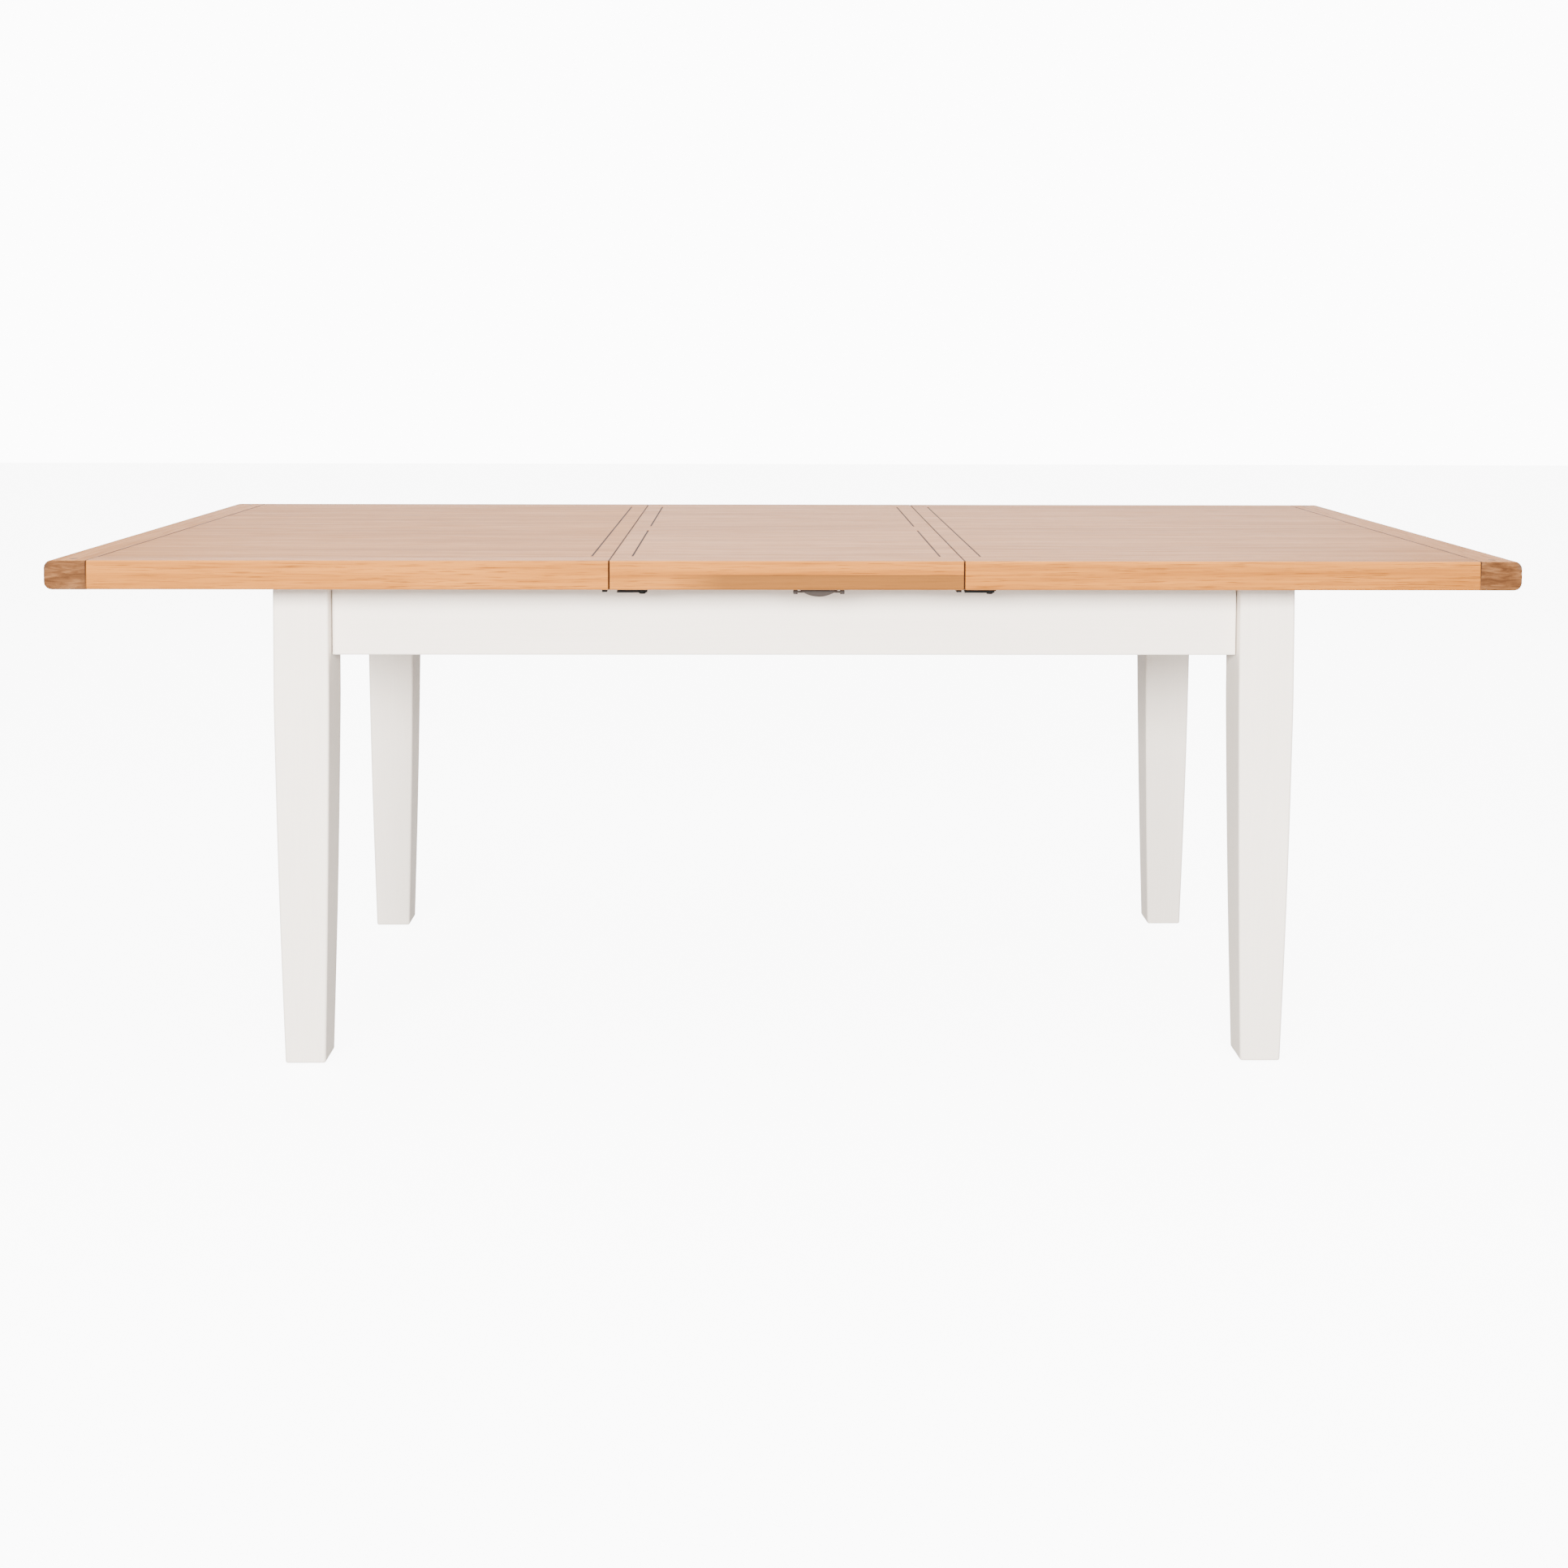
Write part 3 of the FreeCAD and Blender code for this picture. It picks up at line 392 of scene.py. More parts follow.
def makePaint(name, along="Z", offset=(0, 0, 0)):
    # Brushed satin paint: long shallow brush lines, a hint of the grain below, thin spots on the arrises.
    kit = Nodes(name)
    brushScale = alongGrain(along, paintLook["brushLong"], paintLook["brushAcross"])
    grainScale = alongGrain(along, paintLook["grainLong"], paintLook["grainAcross"])
    brush = kit.noise(kit.mapped(brushScale, offset), detail=3.0, roughness=0.6)
    grain = kit.noise(kit.mapped(grainScale, offset), detail=4.0, roughness=0.6, distortion=0.5)
    cloud = kit.noise(kit.mapped((paintLook["cloudScale"],) * 3, offset), detail=3.0, roughness=0.5)
    spots = kit.noise(kit.mapped((paintLook["spotScale"],) * 3, offset), detail=3.0, roughness=0.7)
    colour = kit.mix(kit.grey(brush, 0.0, *paintLook["brushBand"]), paintLook["colour"], paintLook["shade"])
    colour = kit.mix(kit.grey(grain, 0.0, *paintLook["grainBand"]), colour, paintLook["shade"])
    colour = kit.mix(kit.grey(cloud, 0.0, *paintLook["cloudBand"]), colour, paintLook["cloud"])
    rubbed = kit.math("MULTIPLY", kit.attribute("arris"), kit.grey(spots, 0.0, *paintLook["spotBand"]))
    colour = kit.mix(rubbed, colour, paintLook["wear"])
    roughness = kit.grey(cloud, *paintLook["roughness"], *paintLook["glossBand"])
    normal = kit.bump(brush, paintLook["brushDepth"], 0.35)
    normal = kit.bump(grain, paintLook["grainDepth"], 0.25, normal)
    return kit.finish(colour, roughness, normal, specular=paintLook["sheen"])


metalGrain = {"markScale": 300, "cloudScale": 45, "cloudBand": (0.5, 0.35, 0.7), "wear": 0.45,
              "glossBand": (0.3, 0.7), "markDepth": 0.0001}


def makeMetal(name, colour, bright, roughness, metallic=1.0, specular=0.5):
    # Metal with fine marks, cloudy tone and brighter rubbed arrises.
    kit = Nodes(name)
    marks = kit.noise(kit.mapped((metalGrain["markScale"],) * 3), detail=4.0, roughness=0.65)
    cloud = kit.noise(kit.mapped((metalGrain["cloudScale"],) * 3), detail=3.0, roughness=0.55)
    shade = kit.mix(kit.grey(cloud, 0.0, *metalGrain["cloudBand"]), colour, bright)
    shade = kit.mix(kit.math("MULTIPLY", kit.attribute("arris"), metalGrain["wear"]), shade, bright)
    rough = kit.grey(marks, *roughness, *metalGrain["glossBand"])
    surface = kit.bump(marks, metalGrain["markDepth"], 0.4)
    return kit.finish(shade, rough, surface, metallic=metallic, specular=specular)


plainGrain = {"cloudScale": 14, "fineBand": (0.8, 0.35, 0.7), "cloudBand": (0.25, 0.4, 0.7),
              "glossBand": (0.3, 0.7)}


def makePlain(name, colour, deeper, roughness, scale, depth):
    # Moulded plastic or unfinished wood: two close tones, a fine surface and uneven gloss.
    kit = Nodes(name)
    fine = kit.noise(kit.mapped(scale), detail=4.0, roughness=0.6, distortion=0.3)
    cloud = kit.noise(kit.mapped((plainGrain["cloudScale"],) * 3), detail=2.0, roughness=0.5)
    shade = kit.mix(kit.grey(fine, 0.0, *plainGrain["fineBand"]), colour, deeper)
    shade = kit.mix(kit.grey(cloud, 0.0, *plainGrain["cloudBand"]), shade, deeper)
    rough = kit.grey(cloud, *roughness, *plainGrain["glossBand"])
    return kit.finish(shade, rough, kit.bump(fine, depth, 0.5))


oakLeft = makeOak("oakPanelLeft", "X", (0.0, 0.0, 0.0), "warmTop")
oakRight = makeOak("oakPanelRight", "X", (3.7, 5.1, 1.3))
oakWings = {"front": makeOak("oakWingFront", "X", (7.9, 2.3, 4.1)),
            "back": makeOak("oakWingBack", "X", (8.4, 9.6, 4.7))}
oakEdges = {"left": makeOak("oakLippingLeft", "X", (11.2, 3.0, 2.0), lipping=True),
            "right": makeOak("oakLippingRight", "X", (15.6, 4.0, 6.0), lipping=True)}
oakLeafEdge = makeOak("oakLeafLipping", "X", (19.1, 8.0, 3.0), lipping=True, lamination=True)
oakEnds = {"left": makeOak("oakEndLeft", "Y", (21.0, 1.0, 5.0), "warmTop", endGrain=True),
           "right": makeOak("oakEndRight", "Y", (24.0, 6.0, 7.0), endGrain=True)}
paintUpright = makePaint("paintLeg", "Z")
paintAlong = makePaint("paintLongApron", "X", (2.0, 5.0, 1.0))
paintAcross = makePaint("paintEndApron", "Y", (6.0, 3.0, 8.0))
plainLook = {
    "beechAlong": {"colour": (0.56, 0.37, 0.22), "deeper": (0.44, 0.27, 0.15), "roughness": (0.5, 0.7),
                   "scale": (6, 160, 160), "depth": 0.0004},
    "beechAcross": {"colour": (0.56, 0.37, 0.22), "deeper": (0.44, 0.27, 0.15), "roughness": (0.5, 0.7),
                    "scale": (160, 6, 160), "depth": 0.0004},
    "glidePlastic": {"colour": (0.035, 0.030, 0.028), "deeper": (0.02, 0.018, 0.016),
                     "roughness": (0.45, 0.6), "scale": (500, 500, 500), "depth": 0.0002},
    "plugWood": {"colour": (0.115, 0.06, 0.032), "deeper": (0.06, 0.03, 0.016), "roughness": (0.35, 0.5),
                 "scale": (700, 700, 60), "depth": 0.0002},
}
metalLook = {
    "zincSteel": {"colour": (0.48, 0.48, 0.46), "bright": (0.66, 0.66, 0.63), "roughness": (0.28, 0.45)},
    "brass": {"colour": (0.55, 0.38, 0.15), "bright": (0.72, 0.55, 0.26), "roughness": (0.25, 0.42)},
    "blackSteel": {"colour": (0.004, 0.0035, 0.003), "bright": (0.008, 0.007, 0.006),
                   "roughness": (0.5, 0.65), "metallic": 0.0, "specular": 0.06},
    "darkBronze": {"colour": (0.020, 0.0145, 0.012), "bright": (0.036, 0.027, 0.022),
                   "roughness": (0.45, 0.60), "metallic": 0.1, "specular": 0.12},
}
plain = {name: makePlain(name, **look) for name, look in plainLook.items()}
metal = {name: makeMetal(name, **look) for name, look in metalLook.items()}
slotMaterials = {"painted_wood": paintAlong, "beech": plain["beechAlong"], "zinc_steel": metal["zincSteel"],
                 "glide_plastic": plain["glidePlastic"], "oak_veneer": oakLeft, "oak_edge": oakEdges["left"],
                 "oak_end": oakEnds["left"], "dark_plug": plain["plugWood"], "brass": metal["brass"],
                 "black_steel": metal["blackSteel"], "bronze": metal["darkBronze"]}


def finishOf(nodeName):
    # Bearers and corner blocks lie across the table, so their grain does too.
    crosswise = nodeName.startswith("bearer") or nodeName.startswith("corner_blocks")
    return plain["beechAcross"] if crosswise else slotMaterials[slotOfNode[nodeName]]


for nodeName, item in frame["nodes"].items():
    item.data.materials.clear()
    item.data.materials.append(finishOf(nodeName))
print("materials made:", len(bpy.data.materials))


legShape = {"arrisRadius": 0.0042, "footRounding": 0.003, "swell": 0.0012, "loops": 26,
            "kneeFrom": 0.05, "kneeBelow": 0.11, "kneeShare": 0.74, "cornerPoints": 6}


def makeLeg(nodeName):
    # Square loops up the leg. The half width at height z is foot + (top - foot) * t, where t goes from
    # 0 at the floor to 1 at the knee, where the straight part starts, plus a swell of sin(pi t).
    low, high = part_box(nodeName)
    centre = ((low.x + high.x) / 2, (low.y + high.y) / 2)
    points = pointsOf(frame["nodes"][nodeName].data)
    half = (high.x - low.x) / 2
    foot = points[points[:, 2] < low.z + 0.0005]
    footHalf = (foot[:, 0].max() - foot[:, 0].min()) / 2
    above, below = low.z + legShape["kneeFrom"], high.z - legShape["kneeBelow"]
    knee = points[(points[:, 2] > above) & (points[:, 2] < below)]
    kneeZ = float(np.median(knee[:, 2])) if len(knee) else high.z * legShape["kneeShare"]
    inner = np.linspace(low.z + 0.01, high.z - 0.006, legShape["loops"])
    places, shrink = endStations(low.z, high.z, legShape["footRounding"], inner=inner)
    t = np.clip((places - low.z) / (kneeZ - low.z), 0, 1)
    soft = t + legShape["swell"] / (half - footHalf) * np.sin(math.pi * t)
    width = footHalf + (half - footHalf) * np.minimum(soft, 1) - shrink
    radius = np.maximum(legShape["arrisRadius"] - shrink, 0.0005)
    loops, arris = roundedLoop(centre[0] - width, centre[0] + width, centre[1] - width, centre[1] + width,
                               [radius] * 4, legShape["cornerPoints"])
    piece = meshFromGrid("painted_" + nodeName, placeLoops(loops, places, "Z"), {"arris": arris})
    return adopt(piece, nodeName, paintUpright)


apronShape = {"lowerRadius": 0.0025, "otherRadius": 0.0008, "shadowGap": 0.0018, "topGap": 0.0034}


def makeApron(nodeName, axis, outward):
    # A rail with one larger rounding, at its lower outer arris, and thin shadow lines at leg and top.
    low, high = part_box(nodeName)
    small, large = apronShape["otherRadius"], apronShape["lowerRadius"]
    radii = [large, small, small, small] if outward < 0 else [small, large, small, small]
    run = "XY".index(axis)
    low[run] += apronShape["shadowGap"]
    high[run] -= apronShape["shadowGap"]
    high.z -= apronShape["topGap"]
    piece = roundedBar("painted_" + nodeName, low, high, axis, radii)
    return adopt(piece, nodeName, paintAlong if axis == "X" else paintAcross)


for depthName in depthNames:
    for sideName in sideNames:
        makeLeg("leg_%s_%s" % (depthName, sideName))
makeApron("apron_front", "X", -1)
makeApron("apron_back", "X", 1)
makeApron("apron_left", "Y", -1)
makeApron("apron_right", "Y", 1)
print("frame pieces made")


grooveShape = {"halfWidth": 0.0016, "depth": 0.0019, "inset": 0.029, "stop": 0.058, "midStop": 0.036,
               "seamChamfer": 0.0010, "jointChamfer": 0.0026, "topRelief": 0.0003, "nearlyCut": 0.8,
               "fan": (-1.3, -1.0, -0.6, -0.25, 0.0, 0.25, 0.6, 1.0, 1.3), "seamTone": 1.0, "jointTone": 0.8}


def stationsBetween(low, high, places):
    # Sorted places strictly between the two ends, no two nearer than a hundredth of a millimetre,
    # with the exact ends put back on.
    near = 0.00001
    inside = np.sort(places[(places > low + near) & (places < high - near)])
    inside = inside[np.concatenate([[True], np.diff(inside) > near])]
    return np.concatenate([[low], inside, [high]])


def grooveCut(x, y, segment):
    # Depth of a V cut along a line in Y: full depth on the line, falling to nothing at the half width,
    # with ends rounded in plan because distance is measured to the nearest point of the line.
    lineX, startY, endY = segment
    away = np.hypot(x - lineX, y - np.clip(y, startY, endY))
    return grooveShape["depth"] * np.clip(1 - away / grooveShape["halfWidth"], 0, 1)


def makeGroovedBoard(name, nodeName, segments, seamEdges):
    # A flat board as loops in the XZ plane, one per place along Y. The upper line of each loop is
    # lowered by the groove depth at (x, y), and beside a seam by a small chamfer at 45 degrees.
    low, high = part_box(nodeName)
    top = high.z - grooveShape["topRelief"]
    half = grooveShape["halfWidth"]
    fan = np.array(grooveShape["fan"]) * half
    xs = [np.linspace(low.x, high.x, 12)] + [s[0] + fan for s in segments]
    ys = [np.linspace(low.y, high.y, 8)]
    ys += [(np.array([s[1], s[2]])[:, None] + fan).ravel() for s in segments]
    chamfers = ["seamChamfer" if edge in seamEdges else "jointChamfer" for edge in ("low", "high")]
    lowCut, highCut = (grooveShape[chamfer] for chamfer in chamfers)
    nearly = grooveShape["nearlyCut"]
    xs += [[low.x + lowCut, low.x + nearly * lowCut, high.x - highCut, high.x - nearly * highCut]]
    xs = stationsBetween(low.x, high.x, np.concatenate(xs))
    ys = stationsBetween(low.y, high.y, np.concatenate(ys))
    gridX, gridY = np.meshgrid(xs[::-1], ys)
    cut = np.zeros_like(gridX)
    for segment in segments:
        cut = np.maximum(cut, grooveCut(gridX, gridY, segment))
    drop = np.maximum(np.clip(1 - (gridX - low.x) / lowCut, 0, 1) * lowCut,
                      np.clip(1 - (high.x - gridX) / highCut, 0, 1) * highCut)
    upper = np.stack([gridX, gridY, top - cut - drop], -1)
    flank = top - np.array([0.0, 0.0, highCut, lowCut]) - 0.0002
    flank[:2] = low.z
    sides = np.stack([np.broadcast_to([low.x, high.x, high.x, low.x], (len(ys), 4)),
                      np.broadcast_to(ys[:, None], (len(ys), 4)), np.broadcast_to(flank, (len(ys), 4))], -1)
    rings = np.concatenate([sides[:, :3], upper, sides[:, 3:]], 1)
    dark = np.clip(cut / grooveShape["depth"] * 4, 0, 1)
    for edge, place, size in (("low", low.x, lowCut), ("high", high.x, highCut)):
        tone = grooveShape["seamTone" if edge in seamEdges else "jointTone"]
        dark = np.maximum(dark, np.clip(5 * (1 - np.abs(gridX - place) / size), 0, tone))
    plain = np.zeros((len(ys), 1))
    groove = np.concatenate([plain, plain, plain, dark, plain], 1)
    return meshFromGrid(name, rings, {"groove": np.clip(groove, 0, 1), "arris": np.zeros_like(groove)})


def halfPanel(sideName):
    # One groove beside the seam, stopped short of both edges.
    sign = sideNames[sideName]
    reach = edgeY - grooveShape["stop"]
    lines = [(sign * (seamX + grooveShape["inset"]), -reach, reach)]
    node = "top_panel_%s" % sideName
    piece = makeGroovedBoard("oak_" + node, node, lines, ("low",) if sign > 0 else ("high",))
    return adopt(piece, node, oakLeft if sign < 0 else oakRight)


def leafWing(depthName):
    # Two grooves, one beside each seam, stopped short of the outer edge and of the fold.
    sign = depthNames[depthName]
    reach = edgeY - grooveShape["stop"]
    span = sorted((sign * grooveShape["midStop"], sign * reach))
    lines = [(s * (leafX - grooveShape["inset"]), span[0], span[1]) for s in (-1, 1)]
    node = "leaf_panel_%s" % depthName
    return adopt(makeGroovedBoard("oak_" + node, node, lines, ("low", "high")), node, oakWings[depthName])


lippingShape = {"topRadius": 0.0026, "lowerRadius": 0.0034, "hidden": 0.0002, "seamRadius": 0.0006,
                "darkStrip": 0.0010, "stripInner": 0.8, "besideGap": 0.45, "gapReach": 0.002}


def makeLipping(nodeName, sign, material):
    # A strip with its outer arrises rounded and its ends dark: most at a seam, less at a glued joint.
    low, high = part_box(nodeName)
    high.z -= grooveShape["topRelief"]
    outerTop, outerLow, hidden = (lippingShape[key] for key in ("topRadius", "lowerRadius", "hidden"))
    radii = [outerLow, hidden, hidden, outerTop] if sign < 0 else [hidden, outerLow, outerTop, hidden]
    endRadius = lippingShape["seamRadius"]
    strip = lippingShape["darkStrip"]
    within = lippingShape["stripInner"] * strip
    inner = np.concatenate([[low.x + within, low.x + strip, high.x - strip, high.x - within],
                            np.linspace(low.x, high.x, 14)[1:-1]])
    atSeam = [abs(abs(x) - seamX) < lippingShape["gapReach"] for x in (low.x, high.x)]
    ends = [1.0 if seam else lippingShape["besideGap"] for seam in atSeam]
    piece = roundedBar("oak_" + nodeName, low, high, "X", radii, endRadius, inner, (strip, ends))
    return adopt(piece, nodeName, material)


breadboardShape = {"outerRadius": 0.0110, "innerRadius": 0.0016, "hiddenRadius": 0.0003, "endRadius": 0.0022,
                   "jointTone": 0.9, "jointDepth": 0.004, "jointWidth": 0.85, "stations": 12}


def makeBreadboard(sideName):
    node = "breadboard_end_%s" % sideName
    sign = sideNames[sideName]
    low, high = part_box(node)
    high.z -= grooveShape["topRelief"]
    outer, inner, hidden = (breadboardShape[key] for key in ("outerRadius", "innerRadius", "hiddenRadius"))
    radii = [outer, hidden, inner, outer] if sign < 0 else [hidden, outer, outer, inner]
    between = np.linspace(low.y, high.y, breadboardShape["stations"])[1:-1]
    piece = roundedBar("oak_" + node, low, high, "Y", radii, breadboardShape["endRadius"], between)
    # The wall that faces the panel is dark in the open joint, over a strip as high as the joint is deep.
    points = pointsOf(piece.data)
    wall = np.abs(points[:, 0] - (low.x if sign > 0 else high.x)) < breadboardShape["jointWidth"] * inner
    dark = breadboardShape["jointTone"] * (wall & (points[:, 2] > high.z - breadboardShape["jointDepth"]))
    layer = piece.data.attributes.new("groove", "FLOAT", "POINT")
    layer.data.foreach_set("value", dark.astype(np.float32))
    return adopt(piece, node, oakEnds[sideName])


plugShape = {"rings": 7, "points": 40, "dome": 0.0003, "shoulder": 0.0004}


def makePlugs(sideName):
    # Two round plugs: loops of a circle whose height falls with the square of the distance out.
    node = "end_plugs_%s" % sideName
    low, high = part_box(node)
    radius = (high.x - low.x) / 2
    centreX = (low.x + high.x) / 2
    angle = np.linspace(0, 2 * math.pi, plugShape["points"], endpoint=False)
    share = np.concatenate([[1.0, 1.0], np.linspace(0.97, 0.08, plugShape["rings"])])
    dome = high.z - plugShape["dome"] * share[2:] ** 2
    height = np.concatenate([[low.z, high.z - plugShape["shoulder"]], dome])
    reach = radius * share[:, None]
    made = []
    for place in (low.y + radius, high.y - radius):
        rings = np.stack([centreX + reach * np.cos(angle), place + reach * np.sin(angle),
                          np.broadcast_to(height[:, None], (len(share), len(angle)))], -1)
        name = "wood_plug_%s_%d" % (sideName, len(made))
        made.append(meshFromGrid(name, rings, {"arris": np.zeros(rings.shape[:2])}))
    adopt(made[0], node, plain["plugWood"])
    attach(made[1], bodyOfNode[node])
    made[1].data.materials.append(plain["plugWood"])


for sideName in sideNames:
    halfPanel(sideName)
    makeBreadboard(sideName)
    makePlugs(sideName)
    for depthName, depthSign in depthNames.items():
        makeLipping("lipping_%s_%s" % (sideName, depthName), depthSign, oakEdges[sideName])
for depthName, depthSign in depthNames.items():
    leafWing(depthName)
    makeLipping("leaf_lipping_%s" % depthName, depthSign, oakLeafEdge)
print("top pieces made")


softShape = {"weld": 0.00001, "flat": 0.5, "segments": 2, "sharp": 40}
softRadius = {
    "guide_rail_front": 0.0008, "guide_rail_back": 0.0008, "runner_left_front": 0.0008,
    "runner_left_back": 0.0008, "runner_right_front": 0.0008, "runner_right_back": 0.0008,
    "bearer_left": 0.0012, "bearer_right": 0.0012, "leaf_rest_blocks": 0.0008, "corner_blocks": 0.0015,
    "corner_bolts": 0.0004, "foot_glides": 0.0006, "guide_rail_screws": 0.0003, "carrier_screws": 0.0003,
    "leaf_carrier_left": 0.0005, "leaf_carrier_right": 0.0005,
    "fore_arm_left": 0.0006, "fore_arm_right": 0.0006, "aft_arm_left": 0.0006, "aft_arm_right": 0.0006,
    "carrier_pins": 0.0004, "arm_shaft": 0.0006, "aft_pivot_pins": 0.0004, "leaf_hinge_barrels_front": 0.0004,
    "leaf_hinge_barrels_back": 0.0004, "leaf_latch_plate_front": 0.0003, "leaf_latch_plate_back": 0.0003,
    "leaf_latch_lever_front": 0.0005, "leaf_latch_lever_back": 0.0005, "leaf_keeper_front": 0.0004,
    "leaf_keeper_back": 0.0004, "right_latch_lever_front": 0.0005, "right_latch_lever_back": 0.0005,
    "right_latch_plates": 0.0003, "left_keepers": 0.0004, "leaf_pull_posts": 0.0006,
}


def softenNode(nodeName, material, radius):
    # The solid's own surface with its doubled corners joined, its flat triangles merged, and every
    # edge sharper than the limit rounded off by an arc of the given radius.
    shape = bmesh.new()
    shape.from_mesh(frame["nodes"][nodeName].data)
    bmesh.ops.remove_doubles(shape, verts=shape.verts, dist=softShape["weld"])
    bmesh.ops.dissolve_limit(shape, angle_limit=math.radians(softShape["flat"]), verts=shape.verts,
                             edges=shape.edges)
    mesh = bpy.data.meshes.new("soft_" + nodeName)
    shape.to_mesh(mesh)
    shape.free()
    piece = bpy.data.objects.new("soft_" + nodeName, mesh)
    bpy.context.scene.collection.objects.link(piece)
    rounding = piece.modifiers.new("softArris", "BEVEL")
    rounding.width = radius
    rounding.segments = softShape["segments"]
    rounding.limit_method = "ANGLE"
    rounding.angle_limit = math.radians(softShape["sharp"])
    mesh.shade_smooth()
    mesh.set_sharp_from_angle(angle=math.radians(softShape["sharp"]))
    weighted = piece.modifiers.new("evenNormals", "WEIGHTED_NORMAL")
    weighted.keep_sharp = True
    return adopt(piece, nodeName, material)


for nodeName, radius in softRadius.items():
    softenNode(nodeName, finishOf(nodeName), radius)
print("runners, arms and catches softened")


pullShape = {"faceRadius": 0.0009, "points": 60, "pinRadius": 0.0013, "pinPoints": 20, "pinEnd": 0.0003,
             "pinDrop": 0.0017, "pinBite": 0.006, "centreShare": 0.62, "faceWear": 0.8}


def makePull():
    # A crescent: the outline runs level along the top and back along a circular arc whose sag is the
    # height of the plate, and is carried through the thickness and drawn in at both faces.
    low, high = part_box("leaf_pull")
    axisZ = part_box("leaf_pull_posts")[0].z + pullShape["pinRadius"] + pullShape["pinDrop"]
    plate = pointsOf(frame["nodes"]["leaf_pull"].data)
    full = plate[np.abs(plate[:, 1] - low.y) < 0.0002]
    left, right = full[:, 0].min(), full[:, 0].max()
    sag, half, middle = high.z - low.z, (right - left) / 2, (right + left) / 2
    radius = (half * half + sag * sag) / (2 * sag)
    reach = math.asin(half / radius)
    turn = np.linspace(-reach, reach, pullShape["points"])
    arc = np.stack([middle + radius * np.sin(turn), low.z + radius * (1 - np.cos(turn))], -1)
    levelX = np.linspace(right, left, pullShape["points"])[1:-1]
    outline = np.concatenate([arc, np.stack([levelX, np.full_like(levelX, high.z)], -1)])
    places, shrink = endStations(low.y, high.y, pullShape["faceRadius"], 5)
    centre = np.array([middle, low.z + sag * pullShape["centreShare"]])
    size = np.array([half, sag * 0.5])
    loops = centre + (outline - centre) * (1 - shrink[:, None, None] / size)
    worn = np.repeat(shrink[:, None] > 0, len(outline), 1) * pullShape["faceWear"]
    piece = meshFromGrid("bronze_leaf_pull", placeLoops(loops, places, "Y"), {"arris": worn})
    adopt(piece, "leaf_pull", metal["darkBronze"])
    angle = np.linspace(0, 2 * math.pi, pullShape["pinPoints"], endpoint=False)
    bite = pullShape["pinBite"]
    for number, (start, end) in enumerate(((low.x, left + bite), (right - bite, high.x))):
        places, shrink = endStations(start, end, pullShape["pinEnd"], 3)
        reachOut = (pullShape["pinRadius"] - shrink)[:, None]
        across = (low.y + high.y) / 2 + reachOut * np.cos(angle)
        loops = np.stack([across, axisZ + reachOut * np.sin(angle)], -1)
        pin = meshFromGrid("bronze_pull_pin_%d" % number, placeLoops(loops, places, "X"),
                           {"arris": np.zeros(loops.shape[:2])})
        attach(pin, bodyOfNode["leaf_pull"])
        pin.data.materials.append(metal["darkBronze"])


makePull()
print("drop pull made")


cameraPlace = {"x": -0.0406, "y": -3.067, "z": 1.0699, "yaw": 0.0138, "pitch": 0.0374, "roll": 0.0026,
               "focal": 2259.4, "horizon": 514.9, "image": 1932.0, "sensor": 36.0}


def makeCamera():
    # The view looks along (sin yaw cos pitch, cos yaw cos pitch, -sin pitch) and is rolled about it.
    yaw, pitch, roll = cameraPlace["yaw"], cameraPlace["pitch"], cameraPlace["roll"]
    forward = Vector((math.sin(yaw) * math.cos(pitch), math.cos(yaw) * math.cos(pitch), -math.sin(pitch)))
    right = Vector((math.cos(yaw), -math.sin(yaw), 0))
    up = right.cross(forward)
    rolledRight = right * math.cos(roll) + up * math.sin(roll)
    rolledUp = up * math.cos(roll) - right * math.sin(roll)
    data = bpy.data.cameras.new("camera")
    data.sensor_width = cameraPlace["sensor"]
    data.lens = cameraPlace["sensor"] * cameraPlace["focal"] / cameraPlace["image"]
    data.shift_y = -(cameraPlace["image"] / 2 - cameraPlace["horizon"]) / cameraPlace["image"]
    data.dof.use_dof = False
    camera = bpy.data.objects.new("camera", data)
    camera.matrix_world = Matrix((
        (rolledRight.x, rolledUp.x, -forward.x, cameraPlace["x"]),
        (rolledRight.y, rolledUp.y, -forward.y, cameraPlace["y"]),
        (rolledRight.z, rolledUp.z, -forward.z, cameraPlace["z"]),
        (0, 0, 0, 1)))
    bpy.context.scene.collection.objects.link(camera)
    bpy.context.scene.camera = camera


lights = {
    "overhead": {"place": (0.0, -0.2, 3.2), "aim": (0, 0, 0.7), "size": (4.5, 3.0), "power": 215},
    "frontLeft": {"place": (-1.7, -5.6, 2.2), "aim": (0, -0.3, 0.55), "size": (2.4, 1.2), "power": 1080},
    "frontRight": {"place": (1.3, -5.6, 2.15), "aim": (0, -0.3, 0.55), "size": (2.2, 1.2), "power": 610},
    "behind": {"place": (0.0, 4.2, 2.4), "aim": (0, 0, 0.9), "size": (5.0, 2.2), "power": 105},
}
worldStrength = {"lit": 0.55, "seen": 12.0}
floorGlow = 9.0


def seenOrLit(tree, seen, lit):
    # One value for what the eye sees directly and another for the light that it gives.
    path = tree.nodes.new("ShaderNodeLightPath")
    choice = tree.nodes.new("ShaderNodeMapRange")
    tree.links.new(path.outputs["Is Camera Ray"], choice.inputs["Value"])
    choice.inputs["To Min"].default_value = lit
    choice.inputs["To Max"].default_value = seen
    return choice.outputs[0]


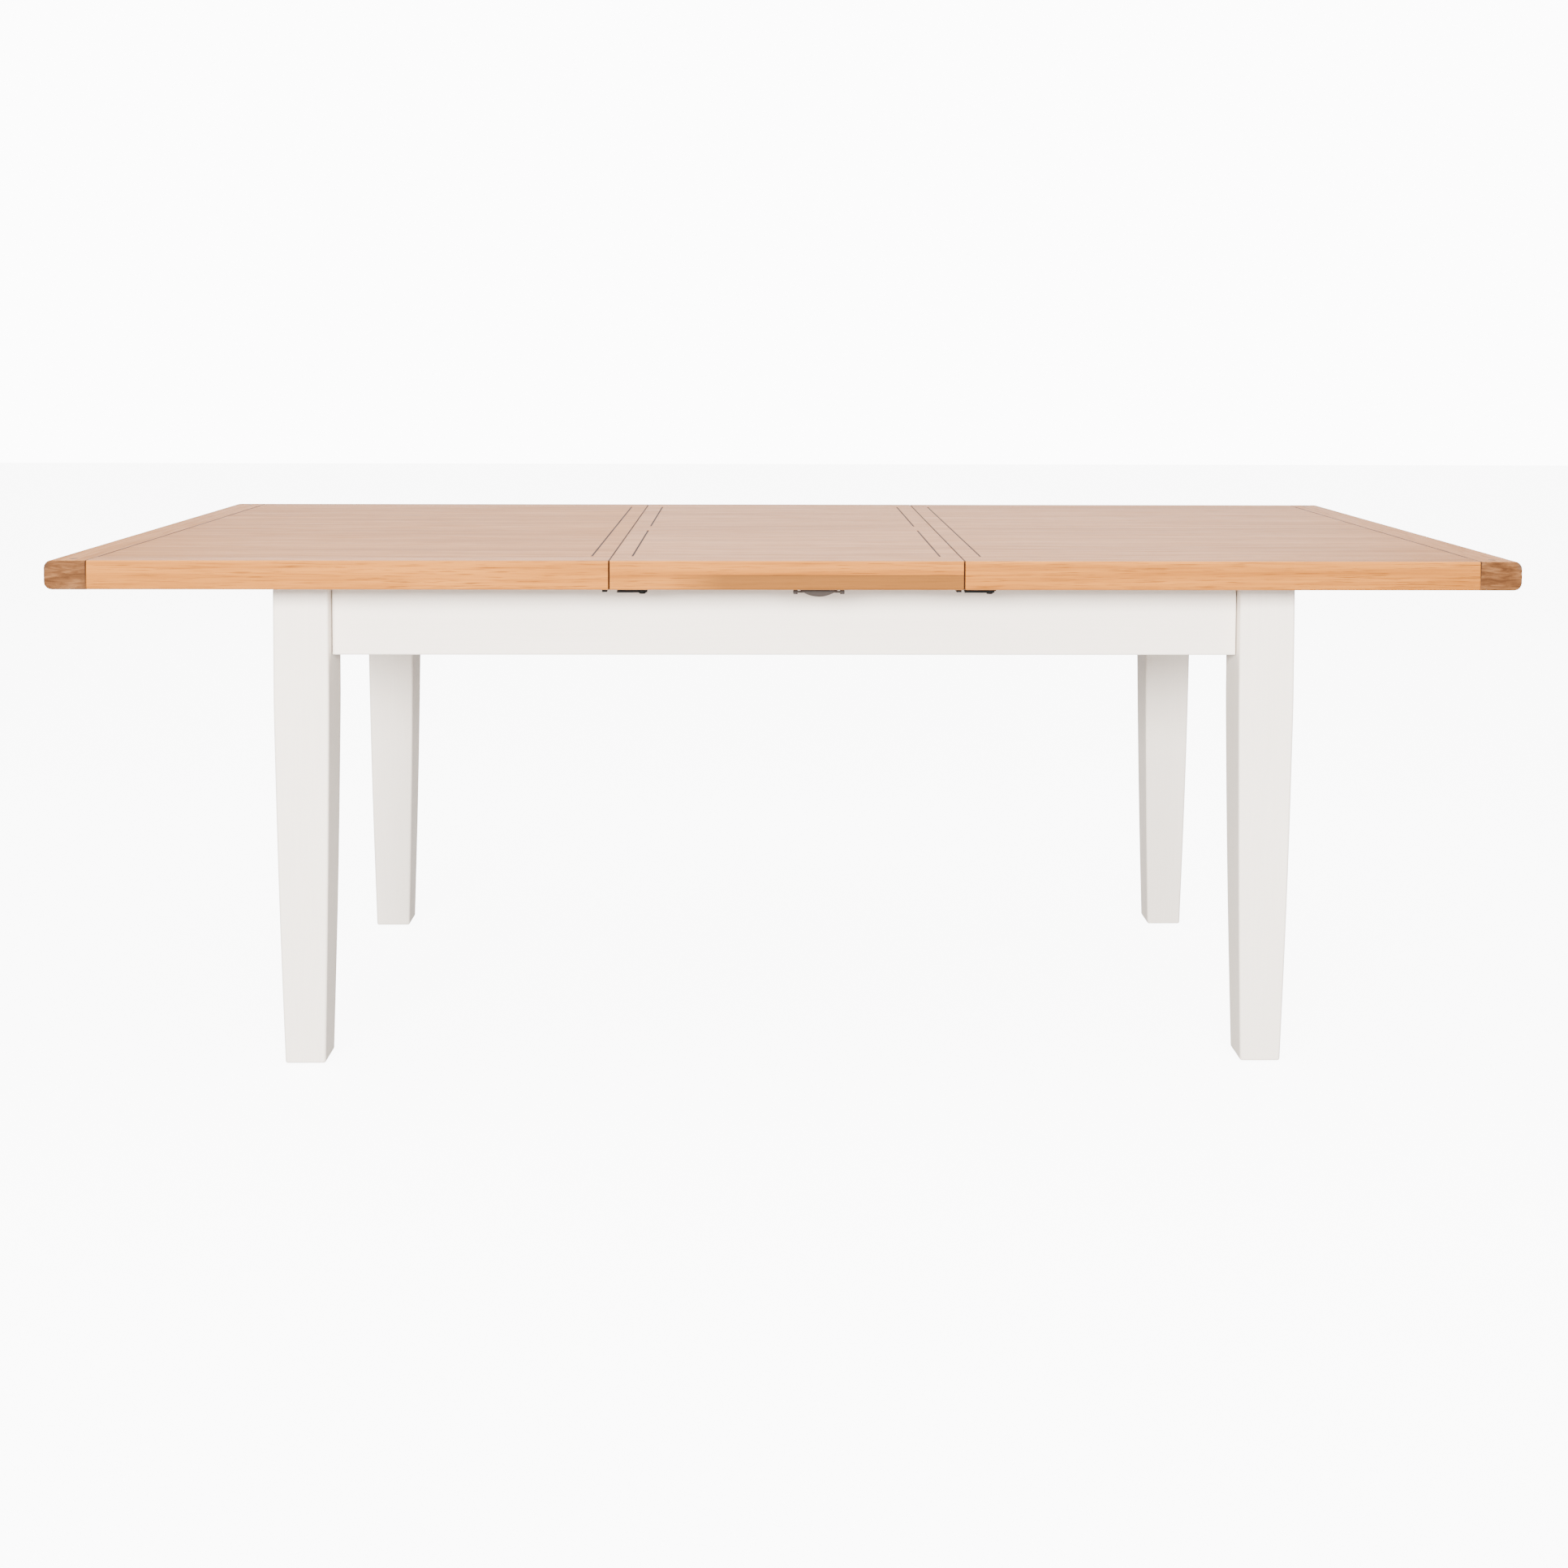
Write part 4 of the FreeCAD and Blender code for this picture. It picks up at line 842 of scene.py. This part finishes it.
def makeLights():
    for name, values in lights.items():
        data = bpy.data.lights.new(name, "AREA")
        data.shape = "RECTANGLE"
        data.size, data.size_y = values["size"]
        data.energy = values["power"]
        lamp = bpy.data.objects.new(name, data)
        lamp.location = values["place"]
        towards = Vector(values["aim"]) - Vector(values["place"])
        lamp.rotation_euler = towards.to_track_quat("-Z", "Y").to_euler()
        bpy.context.scene.collection.objects.link(lamp)
    world = bpy.data.worlds.new("studio")
    world.use_nodes = True
    tree = world.node_tree
    sky = tree.nodes["Background"]
    sky.inputs["Color"].default_value = (1.0, 1.0, 1.0, 1)
    tree.links.new(seenOrLit(tree, worldStrength["seen"], worldStrength["lit"]), sky.inputs["Strength"])
    bpy.context.scene.world = world


floorShape = {"half": 14.0, "cells": 40, "pale": (0.42, 0.42, 0.42), "paler": (0.45, 0.45, 0.45)}


def makeFloor():
    # A flat sheet, a grid of two parameters at height zero.
    line = np.linspace(-floorShape["half"], floorShape["half"], floorShape["cells"])
    x, y = np.meshgrid(line, line)
    points = np.stack([x, y, np.zeros_like(x)], -1).reshape(-1, 3)
    index = np.arange(len(points)).reshape(x.shape)
    faces = np.stack([index[:-1, :-1], index[:-1, 1:], index[1:, 1:], index[1:, :-1]], -1).reshape(-1, 4)
    mesh = bpy.data.meshes.new("floor")
    mesh.from_pydata(points.tolist(), [], faces.tolist())
    floor = bpy.data.objects.new("floor", mesh)
    bpy.context.scene.collection.objects.link(floor)
    kit = Nodes("floorPaint")
    cloud = kit.noise(kit.mapped((1.5, 1.5, 1.5)), detail=2.0, roughness=0.5)
    colour = kit.mix(kit.grey(cloud, 0.0, 1.0, 0.3, 0.7), floorShape["pale"], floorShape["paler"])
    mesh.materials.append(kit.finish(colour, 0.8, specular=0.1))
    kit.link(seenOrLit(kit.tree, floorGlow, 0.0), kit.shader.inputs["Emission Strength"])
    kit.shader.inputs["Emission Color"].default_value = (1.0, 1.0, 1.0, 1)


makeCamera()
makeLights()
makeFloor()
print("camera, light and floor ready")
